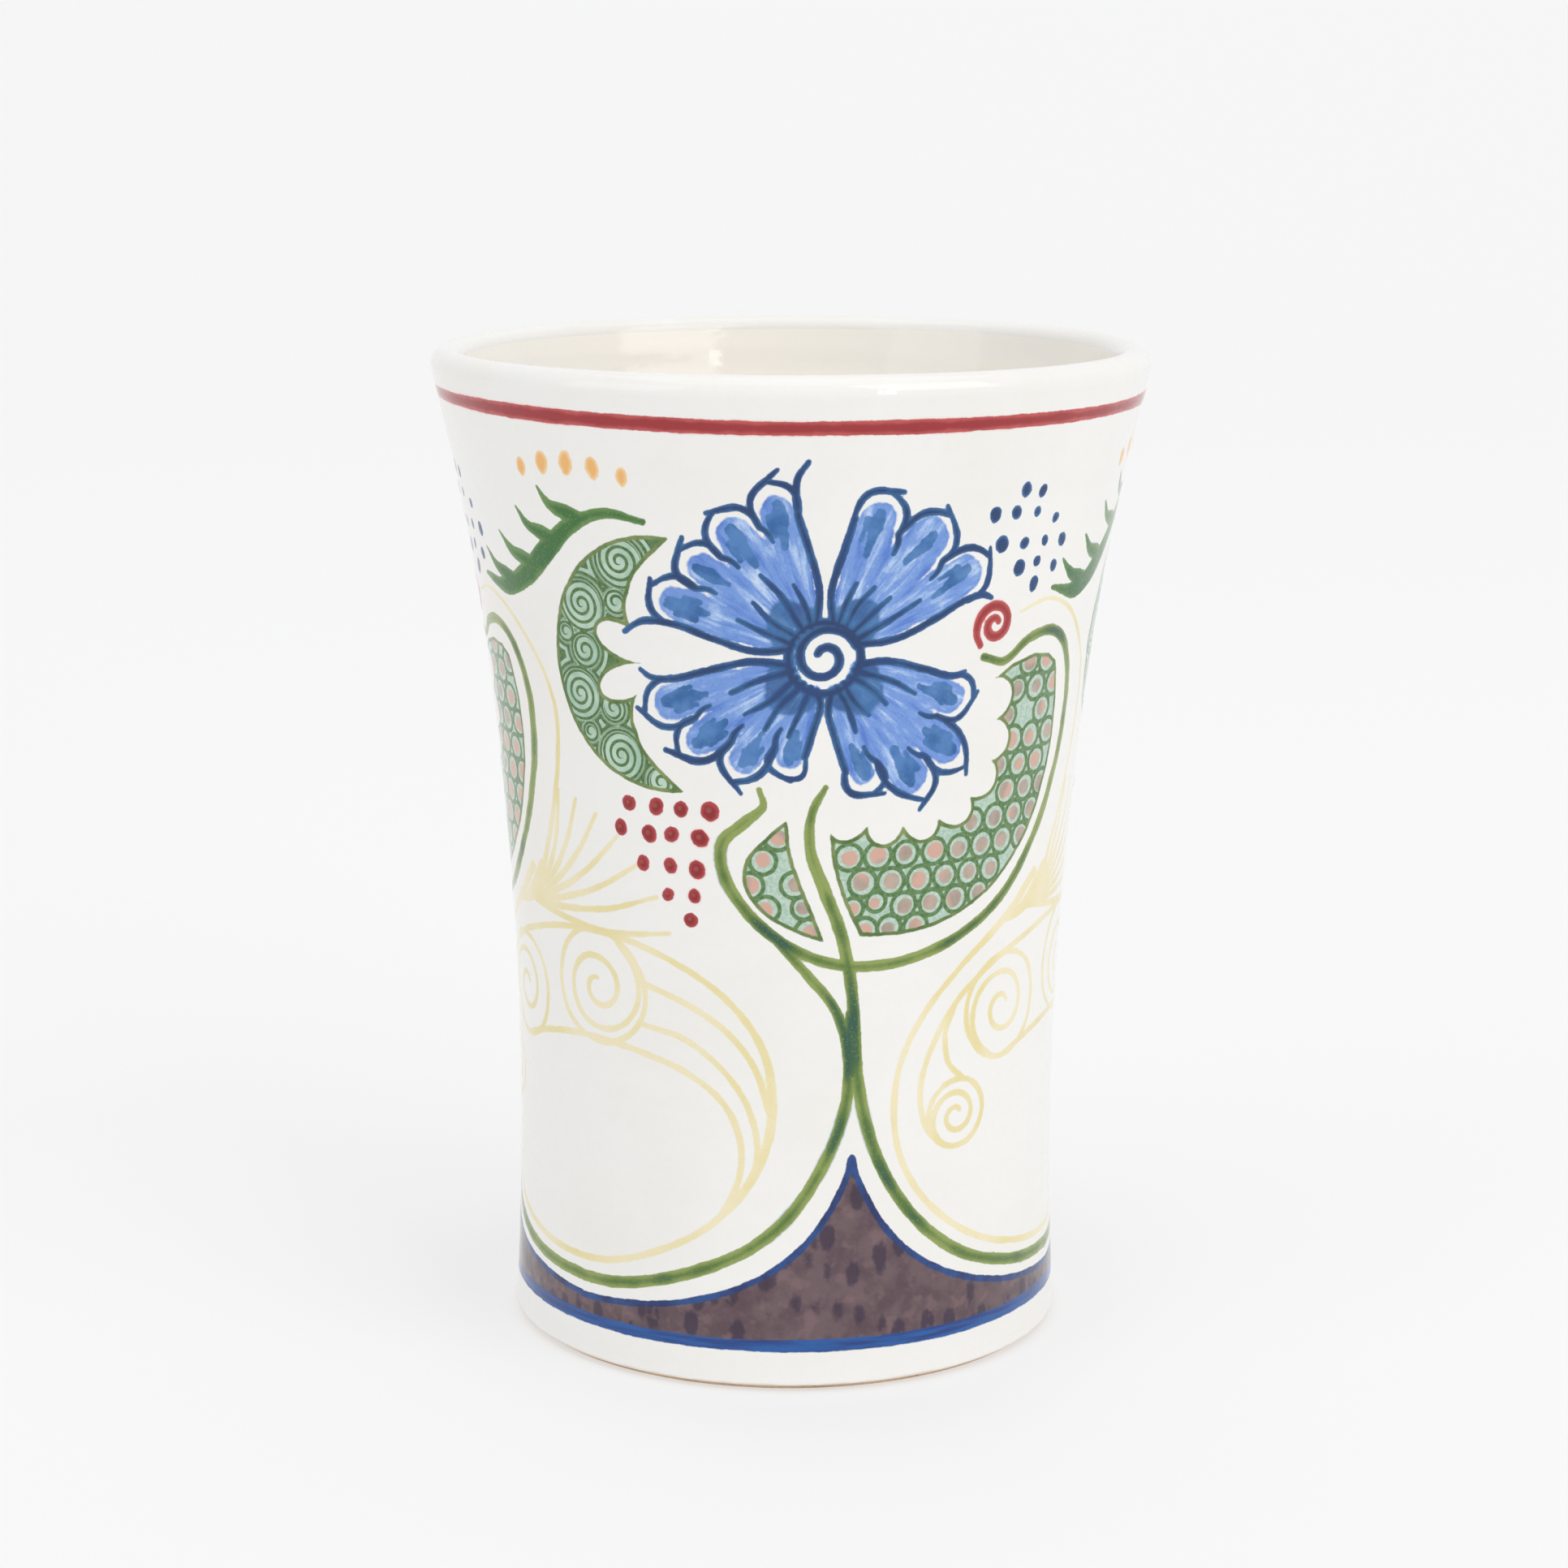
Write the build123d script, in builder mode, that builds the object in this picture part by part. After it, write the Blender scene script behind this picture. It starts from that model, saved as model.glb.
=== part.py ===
"""Handleless flared stoneware beaker with a bead lip, glazed inside and out, with painted bands.

Frame: +Z up, origin at the centre of the foot ring on the plane it stands on, +X and +Y level.
The clay is one fired piece. On it lie three glaze coats (outside with the lip, inside, and the
recess under the foot), and on the outside glaze the brushed colour: a red line under the lip, a
blue line above the foot and the brown scalloped ground with three peaks that stands on it.
All sizes in millimetres.
"""

from build123d import *
import math
import os

os.makedirs("parts", exist_ok=True)

# ---------------------------------------------------------------- driving sizes
height = 120.0            # foot to the top of the lip
lip_radius = 1.95         # bead of the finished lip, half the wall there
lip_centre_r = 41.2       # radius of the bead's centre circle
glaze = 0.30              # every glaze coat
paint = 0.12              # brushed colour, fired on
floor_top = 6.3           # finished inside floor
floor_fillet = 7.0        # inside corner between floor and wall
foot_inner_r = 28.6       # inside of the standing ring
foot_outer_r = 33.0       # outside of the standing ring, before its small round
recess_depth = 1.8        # clay recess inside the standing ring
glaze_line = 0.60         # bare clay shows below this height
red_low, red_high = 113.85, 115.55    # red line under the lip
blue_low, blue_high = 5.05, 6.55      # blue line above the foot
ground_peak = 27.6        # top of each peak of the brown ground
ground_valley = 8.2       # lowest height of its scalloped edge
ground_first_peak = 14.0  # degrees round +Z from -Y, towards +X
peaks = 3

# Finished outside, (radius, height), from the glaze line to the lip.
outer = [
    (33.78, 0.95), (33.52, 6.0), (33.20, 14.0), (33.05, 26.0), (33.27, 40.0),
    (34.03, 55.0), (35.27, 70.0), (36.80, 84.0), (38.60, 96.0), (40.50, 106.0),
    (41.85, 112.0),
]
# Finished inside, from the lip down to the corner of the floor.
inner = [
    (37.80, 112.0), (36.42, 106.0), (34.52, 96.0), (32.68, 84.0), (31.08, 70.0),
    (29.78, 55.0), (28.92, 40.0), (28.55, 26.0),
]
lip_tilt = 12.1           # degrees the wall leans out where it meets the lip

lip_centre_z = height - lip_radius
lean = math.radians(lip_tilt)


def lip_point(radius, side):
    """Point where the wall meets the bead: side +1 is outside, -1 inside."""
    return (
        lip_centre_r + side * radius * math.cos(lean),
        lip_centre_z - side * radius * math.sin(lean),
    )


def along_normal(points, distance):
    """Moves each point of a profile sideways, away from the axis for a positive distance."""
    moved = []
    for i, (r, z) in enumerate(points):
        r0, z0 = points[max(i - 1, 0)]
        r1, z1 = points[min(i + 1, len(points) - 1)]
        dr, dz = r1 - r0, z1 - z0
        if dz < 0:
            dr, dz = -dr, -dz
        size = math.hypot(dr, dz)
        moved.append((r + distance * dz / size, z - distance * dr / size))
    return moved


up = (math.sin(lean), math.cos(lean))       # along the wall at the lip
foot_up = (-0.055, 1.0)                     # along the wall at the foot

glazed_outer = outer + [lip_point(lip_radius, 1)]
clay_outer = along_normal(glazed_outer, -glaze)[:-1] + [lip_point(lip_radius - glaze, 1)]
clay_outer[0] = (clay_outer[0][0], glaze_line)

corner_r = 28.5                             # inside wall just above the floor's corner
corner_z = floor_top + floor_fillet
glazed_inner = [lip_point(lip_radius, -1)] + inner + [(corner_r, corner_z)]
clay_inner = (
    [lip_point(lip_radius - glaze, -1)]
    + along_normal(glazed_inner, glaze)[1:-1]
    + [(corner_r + glaze, corner_z)]
)
lip_top_clay = (lip_centre_r + (lip_radius - glaze) * math.sin(lean),
                lip_centre_z + (lip_radius - glaze) * math.cos(lean))
lip_top_glazed = (lip_centre_r + lip_radius * math.sin(lean),
                  lip_centre_z + lip_radius * math.cos(lean))
half = math.sqrt(0.5)
corner_clay = (corner_r - floor_fillet + (floor_fillet + glaze) * half,
               corner_z - (floor_fillet + glaze) * half)
corner_glazed = (corner_r - floor_fillet + floor_fillet * half,
                 corner_z - floor_fillet * half)
floor_r = corner_r - floor_fillet
down = (-up[0], -up[1])

# ---------------------------------------------------------------- fired clay
with BuildPart() as clay_body:
    with BuildSketch(Plane.XZ):
        with BuildLine():
            Polyline(
                (0, recess_depth),
                (foot_inner_r - 1.3, recess_depth),
                (foot_inner_r - 0.6, recess_depth - 0.35),
                (foot_inner_r, 0),
                (foot_outer_r, 0),
            )
            Spline((foot_outer_r, 0), clay_outer[0], tangents=[(1, 0), foot_up])
            Spline(*clay_outer, tangents=[foot_up, up])
            ThreePointArc(clay_outer[-1], lip_top_clay, clay_inner[0])
            Spline(*clay_inner, tangents=[down, (0, -1)])
            ThreePointArc(clay_inner[-1], corner_clay, (floor_r, floor_top - glaze))
            Line((floor_r, floor_top - glaze), (0, floor_top - glaze))
            Line((0, floor_top - glaze), (0, recess_depth))
        make_face()
    revolve(axis=Axis.Z)
clay_body.part.label = "clay_body"

# ---------------------------------------------------------------- glaze outside, with the lip
with BuildPart() as outside_glaze:
    with BuildSketch(Plane.XZ):
        with BuildLine():
            Line(clay_outer[0], glazed_outer[0])
            Spline(*glazed_outer, tangents=[foot_up, up])
            ThreePointArc(glazed_outer[-1], lip_top_glazed, glazed_inner[0])
            Line(glazed_inner[0], clay_inner[0])
            ThreePointArc(clay_inner[0], lip_top_clay, clay_outer[-1])
            Spline(*clay_outer, tangents=[foot_up, up])
        make_face()
    revolve(axis=Axis.Z)
outside_glaze.part.label = "outside_glaze"

# ---------------------------------------------------------------- glaze inside
with BuildPart() as inside_glaze:
    with BuildSketch(Plane.XZ):
        with BuildLine():
            Line(clay_inner[0], glazed_inner[0])
            Spline(*glazed_inner, tangents=[down, (0, -1)])
            ThreePointArc(glazed_inner[-1], corner_glazed, (floor_r, floor_top))
            Line((floor_r, floor_top), (0, floor_top))
            Line((0, floor_top), (0, floor_top - glaze))
            Line((0, floor_top - glaze), (floor_r, floor_top - glaze))
            ThreePointArc((floor_r, floor_top - glaze), corner_clay, clay_inner[-1])
            Spline(*clay_inner, tangents=[down, (0, -1)])
        make_face()
    revolve(axis=Axis.Z)
inside_glaze.part.label = "inside_glaze"

# ---------------------------------------------------------------- glaze in the recess under the foot
with BuildPart() as underside_glaze:
    with BuildSketch(Plane.XY.offset(recess_depth - glaze)):
        Circle(foot_inner_r - 1.6)
    extrude(amount=glaze)
    fillet(underside_glaze.edges().group_by(Axis.Z)[0], radius=0.2)
underside_glaze.part.label = "underside_glaze"


def brushed_ring(low, high):
    """Face of a colour coat on the outside glaze between two heights, to be turned about +Z."""
    painted = along_normal(glazed_outer, paint)
    with BuildSketch(Plane.XZ) as face:
        with BuildLine():
            Spline(*glazed_outer, tangents=[foot_up, up])
            Line(glazed_outer[-1], painted[-1])
            Spline(*painted, tangents=[foot_up, up])
            Line(painted[0], glazed_outer[0])
        make_face()
        with Locations((40, (low + high) / 2)):
            Rectangle(40, high - low, mode=Mode.INTERSECT)
    return face


# ---------------------------------------------------------------- red line under the lip
red_face = brushed_ring(red_low, red_high)
with BuildPart() as red_rim_line:
    add(red_face.sketch)
    revolve(axis=Axis.Z)
red_rim_line.part.label = "red_rim_line"

# ---------------------------------------------------------------- blue line above the foot
blue_face = brushed_ring(blue_low, blue_high)
with BuildPart() as blue_foot_line:
    add(blue_face.sketch)
    revolve(axis=Axis.Z)
blue_foot_line.part.label = "blue_foot_line"

# ---------------------------------------------------------------- brown ground with three peaks
# Right half of one scallop: (degrees from the peak, height of the edge).
scallop = [(0.0, ground_peak), (2.0, 24.6), (5.0, 21.2), (9.0, 17.9), (15.0, 14.6),
           (23.0, 11.8), (33.0, 9.8), (44.0, 8.7), (60.0, ground_valley)]
ground_low = blue_high
wall_r = 33.3
ground_face = brushed_ring(ground_low, ground_peak + 1.0)
with BuildPart() as brown_ground:
    add(ground_face.sketch)
    revolve(axis=Axis.Z)
    for n in range(peaks):
        turn = math.radians(ground_first_peak + n * 360 / peaks)
        outward = Vector(math.sin(turn), -math.cos(turn), 0)
        across = Vector(math.cos(turn), math.sin(turn), 0)
        right = [(wall_r * math.sin(math.radians(a)), z) for a, z in scallop]
        left = [(-x, z) for x, z in reversed(right)]
        edge_x = right[-1][0]
        beyond = (edge_x * 1.03, ground_valley)
        with BuildSketch(Plane(origin=outward * 8, x_dir=across, z_dir=outward)):
            with BuildLine():
                Spline(*right)
                Line(right[-1], (edge_x, 60))
                Line((edge_x, 60), (-edge_x, 60))
                Line((-edge_x, 60), left[0])
                Spline(*left)
            make_face()
        extrude(amount=40, mode=Mode.SUBTRACT)
brown_ground.part.label = "brown_ground"

pieces = [clay_body, outside_glaze, inside_glaze, underside_glaze,
          red_rim_line, blue_foot_line, brown_ground]
for piece in pieces:
    export_step(piece.part, f"parts/{piece.part.label}.step")
    print(piece.part.label, "solids", len(piece.part.solids()),
          "volume", round(piece.part.volume, 1))
holds = math.pi * sum(
    ((a[0] + b[0]) / 2) ** 2 * (a[1] - b[1]) for a, b in zip(glazed_inner, glazed_inner[1:])
) / 1000
print("holds about", round(holds), "ml to the lip above the floor's corner")
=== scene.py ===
"""Stoneware beaker: smooth glazed skins with hand-painted underglaze frieze, bare clay foot, soft studio light.

The frieze is redrawn as a plain folk flower, leaf and scroll border from curves written out below, as
(degrees round the beaker from -Y towards +X, height in mm). Each curve becomes a distance field on the glaze
mesh, and the glaze material turns those distances into brushed colour.
"""
import math

import bpy
import numpy as np
from mathutils import Matrix, Vector


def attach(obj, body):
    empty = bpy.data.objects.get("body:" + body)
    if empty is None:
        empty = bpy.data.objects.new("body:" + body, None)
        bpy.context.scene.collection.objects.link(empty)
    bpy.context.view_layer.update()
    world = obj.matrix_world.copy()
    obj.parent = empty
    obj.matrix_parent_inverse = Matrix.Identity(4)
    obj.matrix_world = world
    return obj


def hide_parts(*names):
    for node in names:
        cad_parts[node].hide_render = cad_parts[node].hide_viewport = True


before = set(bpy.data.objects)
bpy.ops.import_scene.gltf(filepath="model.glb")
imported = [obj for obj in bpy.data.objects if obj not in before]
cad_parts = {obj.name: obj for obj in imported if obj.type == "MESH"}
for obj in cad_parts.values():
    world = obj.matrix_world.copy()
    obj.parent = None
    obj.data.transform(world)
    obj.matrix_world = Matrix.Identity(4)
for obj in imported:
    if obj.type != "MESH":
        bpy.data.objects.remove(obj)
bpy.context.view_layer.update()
rng = np.random.RandomState(7)
RAD = math.pi / 180

# ------------------------------------------------------------------ the beaker's profile, mm
HEIGHT, LIP_R, LIP_C, LEAN = 120.0, 1.95, 41.2, 12.1 * RAD
GLAZE = 0.30
OUTER = [(33.78, 0.95), (33.52, 6.0), (33.20, 14.0), (33.05, 26.0), (33.27, 40.0), (34.03, 55.0),
         (35.27, 70.0), (36.80, 84.0), (38.60, 96.0), (40.50, 106.0), (41.85, 112.0),
         (LIP_C + LIP_R * math.cos(LEAN), HEIGHT - LIP_R - LIP_R * math.sin(LEAN))]
INNER = [(LIP_C - LIP_R * math.cos(LEAN), HEIGHT - LIP_R + LIP_R * math.sin(LEAN)),
         (37.80, 112.0), (36.42, 106.0), (34.52, 96.0), (32.68, 84.0), (31.08, 70.0),
         (29.78, 55.0), (28.92, 40.0), (28.55, 26.0), (28.5, 13.3)]
FLOOR_Z, FLOOR_FILLET = 6.3, 7.0


def clamped_spline(x, y, d0, d1):
    """Cubic spline through (x, y) with end slopes, returned as a function."""
    x, y = np.asarray(x, float), np.asarray(y, float)
    n = len(x)
    h = np.diff(x)
    a, b = np.zeros((n, n)), np.zeros(n)
    a[0, 0], b[0] = 1, d0
    a[-1, -1], b[-1] = 1, d1
    for i in range(1, n - 1):
        a[i, i - 1], a[i, i], a[i, i + 1] = 1 / h[i - 1], 2 / h[i - 1] + 2 / h[i], 1 / h[i]
        b[i] = 3 * ((y[i] - y[i - 1]) / h[i - 1] ** 2 + (y[i + 1] - y[i]) / h[i] ** 2)
    m = np.linalg.solve(a, b)

    def f(q):
        q = np.asarray(q, float)
        i = np.clip(np.searchsorted(x, q) - 1, 0, n - 2)
        t = (q - x[i]) / h[i]
        return (y[i] * (1 + 2 * t) * (1 - t) ** 2 + m[i] * h[i] * t * (1 - t) ** 2
                + y[i + 1] * t * t * (3 - 2 * t) + m[i + 1] * h[i] * t * t * (t - 1))
    return f


outer_r = clamped_spline([p[1] for p in OUTER], [p[0] for p in OUTER], -0.055, math.tan(LEAN))
_in = INNER[::-1]
inner_r = clamped_spline([p[1] for p in _in], [p[0] for p in _in], 0.0, math.tan(LEAN))


def resample(points, step):
    """Points along a polyline at an even spacing of about step, with the distance of each from the start."""
    p = np.asarray(points, float)
    d = np.hypot(*np.diff(p, axis=0).T)
    s = np.concatenate([[0], np.cumsum(d)])
    n = max(2, int(round(s[-1] / step)) + 1)
    t = np.linspace(0, s[-1], n)
    return np.stack([np.interp(t, s, p[:, 0]), np.interp(t, s, p[:, 1])], 1), t


Z_EDGE = 0.72                                  # where the outside glaze ends above the foot
z_wall = np.linspace(Z_EDGE, OUTER[-1][1], 2400)
a_lip = np.linspace(-LEAN, math.pi - LEAN, 400)[1:]
wall_line = np.stack([outer_r(np.clip(z_wall, 0.95, None)) + 0.055 * np.clip(0.95 - z_wall, 0, None), z_wall], 1)
lip_line = np.stack([LIP_C + LIP_R * np.cos(a_lip), HEIGHT - LIP_R + LIP_R * np.sin(a_lip)], 1)
outside_line = np.concatenate([wall_line, lip_line])


def line_normals(line):
    t = np.gradient(line, axis=0)
    t /= np.linalg.norm(t, axis=1, keepdims=True)
    return np.stack([t[:, 1], -t[:, 0]], 1)


# ------------------------------------------------------------------ the hand in the shape
def hand(theta, z):
    """Small departures of a thrown pot from a true turned shape, mm: outward and upward."""
    k = np.clip(z / HEIGHT, 0, 1)
    out = (0.10 * k * np.cos(2 * theta + 0.7) + 0.05 * k * np.cos(3 * theta - 1.1)
           + 0.022 * np.sin(2 * math.pi * z / 8.3 + theta * 0.9 + 0.8)
           + 0.012 * np.sin(2 * math.pi * z / 3.9 - theta * 1.7))
    up = k ** 3 * (0.27 * np.sin(theta) + 0.10 * np.cos(theta) + 0.07 * np.cos(2 * theta + 0.4)
                   + 0.04 * np.sin(3 * theta + 1.3))
    return out, up


# ------------------------------------------------------------------ the painted surface's grid
PANELS, PER_PANEL, ROW_STEP = 6, 170, 0.212
NT = PANELS * PER_PANEL
grid_line, grid_s = resample(outside_line, ROW_STEP)
# closer rows on the rounded edge of the glaze just above the foot
foot_extra = np.array([0.0, 0.05, 0.11, 0.17, 0.24, 0.32])
keep = grid_s > 0.40
sline, ss = outside_line, np.concatenate([[0], np.cumsum(np.hypot(*np.diff(outside_line, axis=0).T))])
grid_s = np.concatenate([foot_extra, grid_s[keep]])
grid_line = np.stack([np.interp(grid_s, ss, sline[:, 0]), np.interp(grid_s, ss, sline[:, 1])], 1)
NR = len(grid_s)
row_r, row_z = grid_line[:, 0], grid_line[:, 1]
row_n = line_normals(grid_line)
THETA0 = -196.0                                # first column; panel borders stay off the flowers' middles
col_deg = THETA0 + np.arange(NT) * 360.0 / NT
DEG = 360.0 / NT
wall_rows = int(np.searchsorted(row_z[: np.argmax(row_z)], 116.2))
s_of_z = lambda z: np.interp(z, row_z[: np.argmax(row_z)], grid_s[: np.argmax(row_z)])
r_of_z = lambda z: np.interp(z, row_z[: np.argmax(row_z)], row_r[: np.argmax(row_z)])

FAR = 3.0
LAYERS = ("navy", "green", "red", "yellow", "orange", "bline", "wash", "spot", "deep", "leafl", "leafr", "brown")
field = {n: np.full((NR, NT), FAR, np.float32) for n in LAYERS}
cell = np.zeros((NR, NT, 3), np.float32)
cell[..., 0:2] = 9.0
rounds = np.full((NR, NT, 2), FAR, np.float32)   # distance to the nearest round's rim, and to its middle's


def smooth(points, closed=False, step=0.45):
    """Centripetal Catmull-Rom curve through points given in degrees and mm, sampled in the same units."""
    p = np.asarray(points, float)
    k = r_of_z(p[:, 1].mean()) * RAD
    q = p * [k, 1]
    if closed:
        q = np.concatenate([q[-1:], q, q[:2]])
    else:
        q = np.concatenate([[2 * q[0] - q[1]], q, [2 * q[-1] - q[-2]]])
    out, par = [], []
    for i in range(1, len(q) - 2):
        p0, p1, p2, p3 = q[i - 1: i + 3]
        t0 = 0.0
        t1 = t0 + max(np.linalg.norm(p1 - p0), 1e-6) ** 0.5
        t2 = t1 + max(np.linalg.norm(p2 - p1), 1e-6) ** 0.5
        t3 = t2 + max(np.linalg.norm(p3 - p2), 1e-6) ** 0.5
        n = max(1, int(math.ceil(np.linalg.norm(p2 - p1) / step)))
        for j in range(n):
            t = t1 + (t2 - t1) * j / n
            a1 = (t1 - t) / (t1 - t0) * p0 + (t - t0) / (t1 - t0) * p1
            a2 = (t2 - t) / (t2 - t1) * p1 + (t - t1) / (t2 - t1) * p2
            a3 = (t3 - t) / (t3 - t2) * p2 + (t - t2) / (t3 - t2) * p3
            b1 = (t2 - t) / (t2 - t0) * a1 + (t - t0) / (t2 - t0) * a2
            b2 = (t3 - t) / (t3 - t1) * a2 + (t - t1) / (t3 - t1) * a3
            out.append((t2 - t) / (t2 - t1) * b1 + (t - t1) / (t2 - t1) * b2)
            par.append(i - 1 + j / n)
    if not closed:
        out.append(q[-2])
        par.append(len(p) - 1)
    return np.array(out) / [k, 1], np.array(par)


def repeat_shift(pts, rep):
    """A repeat of the frieze, drawn again by hand a little differently each time."""
    p = np.array(pts, float)
    if rep:
        a = rep * 2.1
        p[:, 0] += 0.45 * np.sin(p[:, 1] / 13 + a) + 0.25 * np.sin(p[:, 0] / 9 + 2 * a)
        p[:, 1] += (0.30 * np.sin(p[:, 0] / 11 + 1.7 * a) + 0.18 * np.sin(p[:, 1] / 7 + a)) * np.clip((p[:, 1] - 6) / 10, 0, 1) * np.clip((113 - p[:, 1]) / 4, 0, 1)
    p[:, 0] += 120.0 * rep
    return p


def window(d0, d1, z0, z1, pad):
    s0, s1 = s_of_z(z0) - pad, s_of_z(z1) + pad
    i0, i1 = np.searchsorted(grid_s, s0), np.searchsorted(grid_s, s1)
    i1 = min(i1, wall_rows)
    i0 = min(i0, i1)
    k = r_of_z((z0 + z1) / 2) * RAD
    c0 = int(math.floor((d0 - pad / k - THETA0) / DEG))
    c1 = int(math.ceil((d1 + pad / k - THETA0) / DEG)) + 1
    cols = np.arange(c0, c1)
    return slice(i0, i1), cols, THETA0 + cols * DEG


def stroke_field(target, pts, half, pad=1.4):
    """Lowers target to the distance from a stroke whose half width varies along it."""
    s = s_of_z(pts[:, 1])
    for i in range(len(pts) - 1):
        (ta, za), (tb, zb) = pts[i], pts[i + 1]
        m = pad + max(half[i], half[i + 1])
        rows, cols, deg = window(min(ta, tb), max(ta, tb), min(za, zb), max(za, zb), m)
        if rows.stop <= rows.start:
            continue
        k = r_of_z((za + zb) / 2) * RAD
        x = (deg[None, :] - ta) * k
        y = (grid_s[rows, None] - s[i])
        bx, by = (tb - ta) * k, s[i + 1] - s[i]
        ll = bx * bx + by * by + 1e-12
        t = np.clip((x * bx + y * by) / ll, 0, 1)
        d = np.hypot(x - t * bx, y - t * by) - (half[i] + (half[i + 1] - half[i]) * t)
        ix = np.ix_(range(rows.start, rows.stop), cols % NT)
        target[ix] = np.minimum(target[ix], d)


def brush(layer, points, width, tip0=0.75, tip1=0.75, wob=0.05, reps=(0, 1, 2), pad=1.4):
    """A brushed line, or a list of widths for a line that swells. tip0 and tip1 thin its ends."""
    for rep in reps:
        pts, par = smooth(repeat_shift(points, rep))
        if np.ndim(width):
            w = np.interp(par, np.arange(len(width)), width)
        else:
            k = r_of_z(pts[:, 1].mean()) * RAD
            d = np.concatenate([[0], np.cumsum(np.hypot(np.diff(pts[:, 0]) * k, np.diff(pts[:, 1])))])
            w = width * np.minimum(tip0 + (1 - tip0) * np.clip(d / 3.0, 0, 1), tip1 + (1 - tip1) * np.clip((d[-1] - d) / 3.0, 0, 1))
        n = len(pts)
        j = np.interp(np.arange(n), np.arange(0, n + 4, 4), rng.uniform(-1, 1, len(np.arange(0, n + 4, 4))))
        stroke_field(field[layer], pts, w / 2 * (1 + wob * j), pad)


def dot(layer, t, z, rx, rz, reps=(0, 1, 2), tilt=0.0, pointed=0.0):
    """A touch of the brush: an ellipse with a slightly uneven edge."""
    for rep in reps:
        (tc, zc), = repeat_shift([(t, z)], rep)
        k = r_of_z(zc) * RAD
        a = np.arange(0, 360, 15) * RAD
        f = 1 + rng.uniform(-0.05, 0.05, len(a)) + 0.05 * np.cos(2 * a + rng.uniform(0, 6)) 
        x, y = rx * f * np.cos(a), rz * f * np.sin(a)
        x = x * (1 - pointed * np.clip(-np.sin(a), 0, 1) ** 2)
        x, y = x * math.cos(tilt) - y * math.sin(tilt), x * math.sin(tilt) + y * math.cos(tilt)
        shape_field(field[layer], np.stack([tc + x / k, zc + y], 1), closed_smooth=True, pad=1.4)


def shape_field(target, points, closed_smooth=False, pad=1.6):
    """Lowers target to the signed distance from a closed shape, negative inside it."""
    pts = smooth(points, closed=True, step=0.5)[0] if closed_smooth else np.asarray(points, float)
    rows, cols, deg = window(pts[:, 0].min(), pts[:, 0].max(), pts[:, 1].min(), pts[:, 1].max(), pad)
    k = r_of_z(row_z[rows])[:, None] * RAD
    mid = pts[:, 0].mean()
    x = (deg[None, :] - mid) * k
    y = np.repeat(grid_s[rows, None], len(deg), 1)
    kk = r_of_z(pts[:, 1]) * RAD
    px, py = (pts[:, 0] - mid) * kk, s_of_z(pts[:, 1])
    best = np.full(x.shape, 1e9)
    inside = np.zeros(x.shape, bool)
    for i in range(len(px)):
        x0, y0, x1, y1 = px[i - 1], py[i - 1], px[i], py[i]
        bx, by = x1 - x0, y1 - y0
        ll = bx * bx + by * by + 1e-12
        t = np.clip(((x - x0) * bx + (y - y0) * by) / ll, 0, 1)
        best = np.minimum(best, (x - x0 - t * bx) ** 2 + (y - y0 - t * by) ** 2)
        if y0 != y1:
            inside ^= ((y0 > y) != (y1 > y)) & (x < x0 + (y - y0) * bx / (by if by else 1e-9))
    d = np.sqrt(best)
    d = np.where(inside, -d, d)
    ix = np.ix_(range(rows.start, rows.stop), cols % NT)
    target[ix] = np.minimum(target[ix], d)
    return rows, cols, x, y, mid, d


def fat(layer, points, radii, reps=(0, 1, 2), pad=1.4):
    """A pool of wash laid down with a full brush: a line with a radius at each point."""
    brush(layer, points, [2 * r for r in radii], wob=0.06, reps=reps, pad=pad)


# ------------------------------------------------------------------ the frieze
# A plain folk border: a scalloped blossom, toothed leaves, a comb sprig, berries, tendrils and scrolls.
# Each motif is made by rule about its own middle, in mm, and the border comes three times round the beaker.
HEART = (6.0, 88.2)


def about(middle, pts):
    """Points in mm to the right of and above a middle, as degrees and mm."""
    p = np.array(pts, float)
    z = middle[1] + p[:, 1]
    return np.stack([middle[0] + p[:, 0] / (r_of_z(z) * RAD), z], 1)


def ray(a, r):
    return (r * math.cos(a * RAD), r * math.sin(a * RAD))


def coil(middle, r0, r1, a0, turns, squeeze=1.0):
    """A spiral about a middle from radius r0 at angle a0 in to r1. Negative turns go clockwise."""
    n = int(abs(turns) * 14) + 2
    t = np.linspace(0, 1, n)
    a, r = (a0 + 360 * turns * t) * RAD, r0 + (r1 - r0) * t ** 0.85
    return about(middle, np.stack([r * np.cos(a) * squeeze, r * np.sin(a)], 1))


# each petal: first and last direction, the reach of each lobe in mm, how far each side runs on past the lobes
PETALS = ((101, 169, (21.4, 21.0, 20.6, 21.6), (5.4, 6.2)), (19, 80, (22.6, 21.4, 20.2), (3.2, 0.0)),
          (189, 261, (22.0, 20.2, 17.8, 14.6), (3.8, 0.0)), (281, 350, (17.2, 21.4, 22.6, 19.4), (0.0, 1.8)))


def bowed(p, q, bow, n=6):
    """Points from p to q with a belly of bow mm to the left of the way."""
    p, q = np.array(p, float), np.array(q, float)
    d = q - p
    side = np.array([-d[1], d[0]]) / max(np.hypot(*d), 1e-6)
    t = np.linspace(0, 1, n)[:, None]
    return p + d * t + side * bow * np.sin(math.pi * t ** 0.9)


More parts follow.
